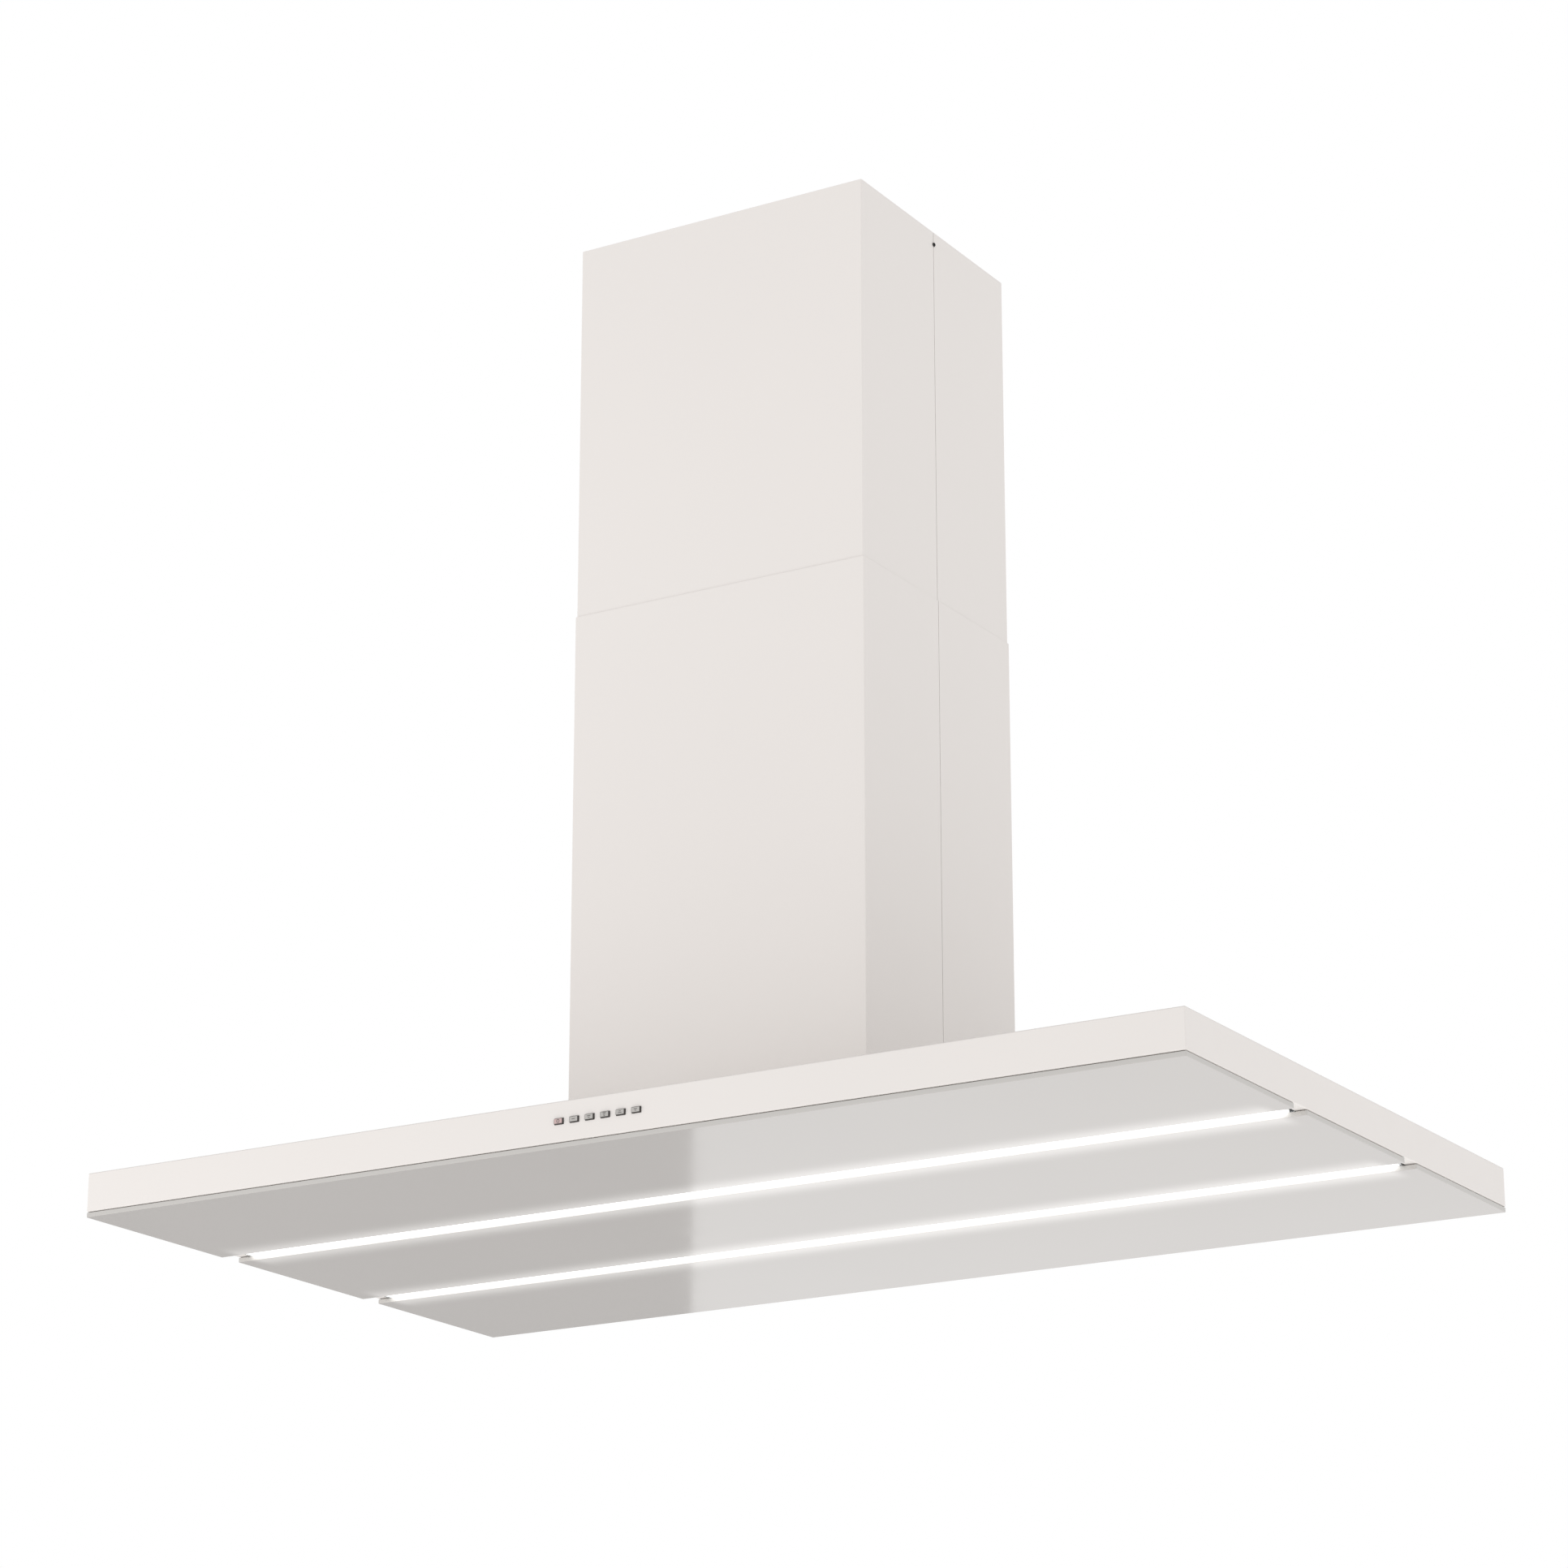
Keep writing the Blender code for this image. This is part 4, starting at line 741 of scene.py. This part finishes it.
def moulded_cap(name, face_dark, face_light):
    """Cap with a satin front face; every other face is near-black, painted shade of the cap's sides and the
    gap round it.
    """
    material, nodes, join, shader = new_material(name)
    skin = add_skin(nodes, join, shader, 1500.0, 0.00001, 160.0)
    face = tint_by(nodes, join, skin.outputs["Cloud"], face_dark, face_light)
    place = nodes.new("ShaderNodeTexCoord")
    facing = nodes.new("ShaderNodeSeparateXYZ")
    join(place.outputs["Normal"], facing.inputs["Vector"])
    front = ramp_between(nodes, join, compute(nodes, join, "MULTIPLY", facing.outputs["Y"], -1.0), 0.93, 0.99)
    colour = nodes.new("ShaderNodeMix")
    colour.data_type = "RGBA"
    # Painted shade: the near-black colour on every face that does not look to the front stands in for the
    # shade on the cap's sides and in the gap round it.
    colour.inputs["A"].default_value = (0.045, 0.038, 0.036, 1.0)
    join(face, colour.inputs["B"])
    join(front, colour.inputs["Factor"])
    join(colour.outputs["Result"], shader.inputs["Base Color"])
    join(span(nodes, join, skin.outputs["Smudge"], 0.3, 0.45), shader.inputs["Roughness"])
    return material


def speckled_plastic(name, dark, light, ripple, cloud, rough_low, rough_high):
    """Moulded plastic with a fine spark-eroded texture."""
    material, nodes, join, shader = new_material(name)
    skin = add_skin(nodes, join, shader, ripple, 0.00004, cloud)
    join(tint_by(nodes, join, skin.outputs["Cloud"], dark, light), shader.inputs["Base Color"])
    join(span(nodes, join, skin.outputs["Smudge"], rough_low, rough_high), shader.inputs["Roughness"])
    return material


grey_cap = moulded_cap("grey_cap", (0.42, 0.405, 0.385), (0.55, 0.53, 0.505))
tinted_cap = moulded_cap("tinted_cap", (0.53, 0.375, 0.365), (0.63, 0.47, 0.455))
printed_ink = speckled_plastic("printed_ink", (0.11, 0.105, 0.10), (0.16, 0.15, 0.145),
                               2000.0, 200.0, 0.4, 0.5)
for number, node in enumerate(BUTTON_NODES, 1):
    low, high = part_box(node)
    middle = (low + high) / 2
    cap = block((low.x + BUTTON_LIP, low.y, low.z + BUTTON_LIP),
                (high.x - BUTTON_LIP, low.y + CAP_BACK, high.z - BUTTON_LIP))
    front_face = facing_faces(cap, (0, -1, 0))[0]
    rims = list(front_face.edges)
    round_edges(cap, rims + [edge for edge in cap.edges if edge not in rims
                             and any(vert in front_face.verts for vert in edge.verts)], CAP_ROUND, 3)
    lip_front = -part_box("canopy_shell")[1].y + CANOPY_SHEET + 0.3 * MM
    add_block(cap, (low.x, lip_front, low.z), (high.x, lip_front + LIP_SHEET, high.z))
    add_block(cap, (middle.x - CAP_STEM, low.y + CAP_BACK - MM, middle.z - CAP_STEM),
              (middle.x + CAP_STEM, high.y, middle.z + CAP_STEM))
    paint, slot = (tinted_cap, "tinted_button") if number == 1 else (grey_cap, "grey_button")
    finished_piece("button_cap_" + str(number), cap, paint, "push_button_" + str(number), slot, node)
    mark = bmesh.new()
    if number == 1:
        ring = bmesh.ops.create_circle(mark, segments=24, radius=RING_RADIUS)["verts"]
        edges = list({edge for vert in ring for edge in vert.link_edges})
        wider = bmesh.ops.extrude_edge_only(mark, edges=edges)["geom"]
        inner = [item for item in wider if isinstance(item, bmesh.types.BMVert)]
        bmesh.ops.scale(mark, vec=(RING_INNER_SHARE, RING_INNER_SHARE, 1.0), verts=inner)
        solid = bmesh.ops.extrude_face_region(mark, geom=mark.faces[:], use_keep_orig=True)["geom"]
        bmesh.ops.translate(mark, vec=(0, 0, 2 * MARK_PROUD),
                            verts=[item for item in solid if isinstance(item, bmesh.types.BMVert)])
        bmesh.ops.recalc_face_normals(mark, faces=mark.faces)
        mark.transform(Matrix.Translation((middle.x, low.y + MARK_PROUD, middle.z))
                       @ Matrix.Rotation(math.pi / 2, 4, "X"))
    else:
        rows = MARK_ROWS[number]
        for row, share in enumerate(rows):
            z = middle.z + (row - (len(rows) - 1) / 2) * MARK_STEP
            half = share * MARK_LONG / 2
            add_block(mark, (middle.x - half, low.y - MARK_PROUD, z - MARK_LINE / 2),
                      (middle.x + half, low.y + MARK_PROUD, z + MARK_LINE / 2))
    finished_piece("button_mark_" + str(number), mark, printed_ink, "push_button_" + str(number), slot)

# ======================================================================================
# Button housing and its control board. A moulded black tray behind the canopy front
# carries the caps, with a board at its back that bears six small switches and parts.
# ======================================================================================
SWITCH_HALF = 3.0 * MM
SWITCH_DEEP = 1.3 * MM
PART_HALF = 1.2 * MM
PART_TALL = 1.2 * MM
PART_GAP = 0.1 * MM


def cad_copy(node):
    """Copy of a CAD node with its loose triangles merged into whole faces."""
    shape = bmesh.new()
    shape.from_mesh(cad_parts[node].data)
    bmesh.ops.remove_doubles(shape, verts=shape.verts, dist=0.002 * MM)
    bmesh.ops.dissolve_limit(shape, angle_limit=math.radians(0.5), verts=shape.verts, edges=shape.edges)
    shape.normal_update()
    return shape


black_moulding = speckled_plastic("black_moulding", (0.014, 0.014, 0.015), (0.03, 0.03, 0.031),
                                  1400.0, 25.0, 0.42, 0.6)
green_board = printed_board("green_board", (0.012, 0.10, 0.035), (0.03, 0.20, 0.07), (0.72, 0.70, 0.64), 60.0)
finished_piece("button_tray", cad_copy("button_housing"), black_moulding, "hood", "black_plastic",
               "button_housing", edge=0.3 * MM)
low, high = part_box("control_board")
board = block(low, high)
finished_piece("button_board", board, green_board, "hood", "circuit_board", "control_board", edge=0.1 * MM)
board_parts = bmesh.new()
for node in BUTTON_NODES:
    button_low, button_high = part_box(node)
    x = (button_low.x + button_high.x) / 2
    z = (button_low.z + button_high.z) / 2
    add_block(board_parts, (x - SWITCH_HALF, low.y - SWITCH_DEEP, z - SWITCH_HALF),
              (x + SWITCH_HALF, low.y - PART_GAP, z + SWITCH_HALF))
    add_block(board_parts, (x - PART_HALF, low.y - MM, low.z + MM),
              (x + PART_HALF, low.y - PART_GAP, low.z + MM + PART_TALL))
finished_piece("board_parts", board_parts, black_moulding, "hood", "black_plastic", edge=0.15 * MM)

# ======================================================================================
# Panel trays, hinge rails and latches. Zinc-plated steel: a folded tray is bonded to each
# glass with hinge arms at one edge, and a rail at each end of the canopy holds the studs.
# ======================================================================================
TRAY_EDGE = 0.3 * MM
LATCH_RIB = 0.7 * MM
LATCH_RIB_WIDTH = 0.8 * MM
LATCH_RIB_MARGIN = 2 * MM
LATCH_RIB_START = 0.3
LATCH_RIB_STEP = 0.13


def zinc_plate():
    """Bright zinc with a faint cloudy bloom."""
    material, nodes, join, shader = new_material("zinc_plate")
    skin = add_skin(nodes, join, shader, 700.0, 0.00001, 14.0)
    join(tint_by(nodes, join, skin.outputs["Cloud"], (0.55, 0.57, 0.60), (0.74, 0.75, 0.74)),
         shader.inputs["Base Color"])
    join(span(nodes, join, skin.outputs["Smudge"], 0.26, 0.42), shader.inputs["Roughness"])
    shader.inputs["Metallic"].default_value = 1.0
    return material


zinc = zinc_plate()
for name, body in PANEL_NODES.items():
    finished_piece("tray_" + name, cad_copy("panel_tray_" + name), zinc, body, "zinc_plated_steel",
                   "panel_tray_" + name, edge=TRAY_EDGE)
for side_name in ("left", "right"):
    finished_piece("hinge_plate_" + side_name, cad_copy("hinge_rail_" + side_name), zinc, "hood",
                   "zinc_plated_steel", "hinge_rail_" + side_name, edge=0.2 * MM)
    low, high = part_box("filter_latch_" + side_name)
    latch = block(low, high)
    for step in range(4):
        x = low.x + (LATCH_RIB_START + LATCH_RIB_STEP * step) * (high.x - low.x)
        add_block(latch, (x, low.y + LATCH_RIB_MARGIN, low.z - LATCH_RIB),
                  (x + LATCH_RIB_WIDTH, high.y - LATCH_RIB_MARGIN, low.z + 0.2 * MM))
    finished_piece("latch_" + side_name, latch, zinc, side_name + "_latch", "zinc_plated_steel",
                   "filter_latch_" + side_name, edge=0.25 * MM)

# ======================================================================================
# Magnet catches. Six black plastic blocks under the canopy pan hold the panels shut; each
# has two bright pole plates let into its lower face.
# ======================================================================================
POLE_LENGTH = 30.0 * MM
POLE_WIDTH = 3.0 * MM
POLE_OFFSET = 2.6 * MM
POLE_PROUD = 0.1 * MM
CATCH_CORNER = 1.5 * MM
for row in ("front", "centre", "rear"):
    for side_name in ("left", "right"):
        node = "magnet_" + row + "_" + side_name
        low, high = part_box(node)
        middle = (low + high) / 2
        catch = block(low, high)
        round_edges(catch, upright_edges(catch), CATCH_CORNER, 4)
        finished_piece("catch_" + row + "_" + side_name, catch, black_moulding, "hood", "black_plastic",
                       node, edge=0.4 * MM)
        poles = bmesh.new()
        for offset in (-POLE_OFFSET, POLE_OFFSET):
            y = middle.y + offset
            add_block(poles, (middle.x - POLE_LENGTH / 2, y - POLE_WIDTH / 2, low.z - POLE_PROUD),
                      (middle.x + POLE_LENGTH / 2, y + POLE_WIDTH / 2, low.z + MM))
        finished_piece("poles_" + row + "_" + side_name, poles, zinc, "hood", "zinc_plated_steel",
                       edge=0.1 * MM)

# ======================================================================================
# Galvanised sheet parts: the canopy pan, the blower's box, the two support frames inside
# the chimney and the ceiling plate. All are cut and folded from spangled steel.
# ======================================================================================
SPANGLE_SCALE = 130.0
GALVANISED_PARTS = (("pan", "canopy_pan", "hood"), ("blower_box", "motor_box", "hood"),
                    ("support_lower", "lower_frame", "hood"),
                    ("support_upper", "upper_frame", "ceiling_frame"),
                    ("ceiling_mount", "ceiling_plate", "ceiling_frame"))


def galvanised_sheet():
    """Zinc spangles: angular crystals, each of a slightly different grey and gloss."""
    material, nodes, join, shader = new_material("galvanised_sheet")
    place = nodes.new("ShaderNodeTexCoord")
    warp = nodes.new("ShaderNodeTexNoise")
    warp.inputs["Scale"].default_value = 40.0
    join(place.outputs["Object"], warp.inputs["Vector"])
    shift = nodes.new("ShaderNodeVectorMath")
    shift.operation = "MULTIPLY_ADD"
    shift.inputs[1].default_value = (0.006, 0.006, 0.006)
    join(warp.outputs["Color"], shift.inputs[0])
    join(place.outputs["Object"], shift.inputs[2])
    crystals = nodes.new("ShaderNodeTexVoronoi")
    crystals.inputs["Scale"].default_value = SPANGLE_SCALE
    join(shift.outputs["Vector"], crystals.inputs["Vector"])
    shade = nodes.new("ShaderNodeSeparateColor")
    join(crystals.outputs["Color"], shade.inputs["Color"])
    skin = add_skin(nodes, join, shader, 260.0, 0.00002, 9.0)
    mixed = compute(nodes, join, "ADD", compute(nodes, join, "MULTIPLY", shade.outputs["Red"], 0.6),
                    compute(nodes, join, "MULTIPLY", skin.outputs["Cloud"], 0.4))
    join(tint_by(nodes, join, mixed, (0.47, 0.49, 0.51), (0.68, 0.69, 0.70)), shader.inputs["Base Color"])
    join(span(nodes, join, shade.outputs["Green"], 0.30, 0.50), shader.inputs["Roughness"])
    shader.inputs["Metallic"].default_value = 1.0
    return material


galvanised = galvanised_sheet()
for name, node, body in GALVANISED_PARTS:
    finished_piece(name, cad_copy(node), galvanised, body, "galvanised_steel", node, edge=0.25 * MM)

# ======================================================================================
# Grease filters. Two cassettes of expanded aluminium: a rounded frame rolled round three
# layers of diamond mesh, each layer shifted against the next.
# ======================================================================================
MESH_LAYERS = 3
DIAMOND = 10.0 * MM
DIAMOND_SQUASH = 0.58
MESH_WIRE = 0.5 * MM
FILTER_ROUND = 1.2 * MM


def diamond_layer(shape, low, high, level, shift):
    """One sheet of expanded mesh, cut to the frame's opening."""
    layer = bmesh.new()
    cell = DIAMOND / math.sqrt(2)
    half = ((high.x - low.x) + (high.y - low.y) / DIAMOND_SQUASH + 2 * DIAMOND) / 2 / math.sqrt(2)
    cells = int(2 * half / cell)
    bmesh.ops.create_grid(layer, x_segments=cells, y_segments=cells, size=half)
    bmesh.ops.rotate(layer, matrix=Matrix.Rotation(math.pi / 4, 3, "Z"), verts=layer.verts)
    bmesh.ops.scale(layer, vec=(1.0, DIAMOND_SQUASH, 1.0), verts=layer.verts)
    centre = (low + high) / 2
    bmesh.ops.translate(layer, vec=(centre.x + shift, centre.y, level), verts=layer.verts)
    for place, normal in (((high.x, 0, 0), (1, 0, 0)), ((low.x, 0, 0), (-1, 0, 0)),
                          ((0, high.y, 0), (0, 1, 0)), ((0, low.y, 0), (0, -1, 0))):
        bmesh.ops.bisect_plane(layer, geom=layer.verts[:] + layer.edges[:] + layer.faces[:], dist=0.000001,
                               plane_co=place, plane_no=normal, clear_outer=True)
    bmesh.ops.wireframe(layer, faces=layer.faces[:], thickness=MESH_WIRE, offset=0.0, use_replace=True,
                        use_boundary=True, use_even_offset=True)
    sheet = bpy.data.meshes.new("layer")
    layer.to_mesh(sheet)
    layer.free()
    shape.from_mesh(sheet)
    bpy.data.meshes.remove(sheet)


rolled_aluminium = brushed_metal("rolled_aluminium", (0.60, 0.61, 0.62), (0.78, 0.79, 0.80),
                                 (40, 40, 40), 0.38, 6.0)
for side_name in ("left", "right"):
    node = "filter_frame_" + side_name
    finished_piece("filter_rim_" + side_name, cad_copy(node), drawn_aluminium, "hood", "aluminium", node,
                   edge=FILTER_ROUND, segments=3)
    low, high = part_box("filter_mesh_" + side_name)
    screen = bmesh.new()
    for layer in range(MESH_LAYERS):
        level = low.z + MM + layer * (high.z - low.z - 2 * MM) / (MESH_LAYERS - 1)
        diamond_layer(screen, low, high, level, (layer % 2) * DIAMOND / 2)
    finished_piece("filter_screen_" + side_name, screen, rolled_aluminium, "hood", "aluminium",
                   "filter_mesh_" + side_name)

# ======================================================================================
# Blower. Two moulded scroll halves hold a two-sided wheel of forward-curved blades on the
# shaft of a steel motor, which a three-armed spider carries in the rear inlet.
# ======================================================================================
MOTOR_GROOVE = 1.0 * MM
GROOVE_PLACES = (0.3, 0.5, 0.7)
SHAFT_PLAY = 0.3 * MM
CAN_FRONT_CHAMFER = 3 * MM
CAN_REAR_CHAMFER = 4 * MM
for half in ("front", "rear"):
    node = "blower_housing_" + half
    finished_piece("scroll_" + half, cad_copy(node), black_moulding, "hood", "black_plastic", node,
                   edge=0.3 * MM)
finished_piece("fan_wheel", cad_copy("impeller"), black_moulding, "wheel", "black_plastic", "impeller",
               edge=0.12 * MM, segments=1)
finished_piece("fan_shaft", cad_copy("motor_shaft"), zinc, "wheel", "zinc_plated_steel", "motor_shaft",
               edge=0.4 * MM)
finished_piece("spider", cad_copy("motor_spider"), zinc, "hood", "zinc_plated_steel", "motor_spider",
               edge=0.2 * MM)
low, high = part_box("motor")
shaft_low, shaft_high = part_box("motor_shaft")
radius = (high.z - low.z) / 2
bore = (shaft_high.z - shaft_low.z) / 2 + SHAFT_PLAY
bore_end = shaft_high.y - low.y + SHAFT_PLAY
length = high.y - low.y
profile = [(0.0, bore_end), (bore, bore_end), (bore, 0.0), (radius - CAN_FRONT_CHAMFER, 0.0),
           (radius, CAN_FRONT_CHAMFER)]
for groove in GROOVE_PLACES:
    at = groove * length
    profile += [(radius, at - MM), (radius - MOTOR_GROOVE, at - 0.5 * MM),
                (radius - MOTOR_GROOVE, at + 0.5 * MM), (radius, at + MM)]
profile += [(radius, length - CAN_REAR_CHAMFER), (radius - CAN_REAR_CHAMFER, length), (0.0, length)]
can = turned_shape(profile, ((low.x + high.x) / 2, low.y, (low.z + high.z) / 2), (0, 1, 0), 64)
finished_piece("motor_can", can, zinc, "hood", "zinc_plated_steel", "motor")

# ======================================================================================
# Outlet collar and back-draught flaps. A grey moulded spigot on the blower box, with two
# half-round flaps on one steel rod across its bore.
# ======================================================================================
grey_moulding = speckled_plastic("grey_moulding", (0.33, 0.34, 0.35), (0.42, 0.43, 0.44),
                                 900.0, 18.0, 0.4, 0.55)
finished_piece("spigot", cad_copy("outlet_collar"), grey_moulding, "hood", "grey_plastic", "outlet_collar",
               edge=0.3 * MM)
finished_piece("flap_rod", cad_copy("damper_rod"), zinc, "hood", "zinc_plated_steel", "damper_rod",
               edge=0.3 * MM)
for side_name in ("left", "right"):
    node = "damper_flap_" + side_name
    finished_piece("flap_" + side_name, cad_copy(node), grey_moulding, side_name + "_flap", "grey_plastic",
                   node, edge=0.15 * MM)

# ======================================================================================
# Junction box and light driver. Two grey plastic cases: one on the front of the blower box
# with a screwed lid, the other on the canopy pan with rounded ends.
# ======================================================================================
CASE_CORNER = 4 * MM
LID_BORDER = 3 * MM
LID_LINE = 0.6 * MM
LID_SCREW = 2.6 * MM
LID_SCREW_INSET = 8 * MM
DRIVER_CORNER = 5 * MM
low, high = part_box("junction_box")
case = block(low, high)
through = [edge for edge in case.edges if abs(edge.verts[0].co.y - edge.verts[1].co.y) > MM]
round_edges(case, through, CASE_CORNER, 5)
lid = facing_faces(case, (0, -1, 0))
bmesh.ops.inset_region(case, faces=lid, thickness=LID_BORDER, depth=0.0)
bmesh.ops.inset_region(case, faces=lid, thickness=LID_LINE, depth=-LID_LINE)
finished_piece("terminal_case", case, grey_moulding, "hood", "grey_plastic", "junction_box", edge=0.5 * MM)
lid_screws = bmesh.new()
for x in (low.x + LID_SCREW_INSET, high.x - LID_SCREW_INSET):
    for z in (low.z + LID_SCREW_INSET, high.z - LID_SCREW_INSET):
        head = bmesh.ops.create_cone(lid_screws, cap_ends=True, segments=20, radius1=LID_SCREW,
                                     radius2=0.8 * LID_SCREW, depth=1.2 * MM)["verts"]
        turn = Matrix.Translation((x, low.y - 0.4 * MM, z)) @ Matrix.Rotation(math.pi / 2, 4, "X")
        bmesh.ops.transform(lid_screws, matrix=turn, verts=head)
finished_piece("lid_screws", lid_screws, zinc, "hood", "zinc_plated_steel", edge=0.2 * MM)
low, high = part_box("led_driver")
driver = block(low, high)
round_edges(driver, upright_edges(driver), DRIVER_CORNER, 5)
finished_piece("light_driver", driver, grey_moulding, "hood", "grey_plastic", "led_driver", edge=1.0 * MM)
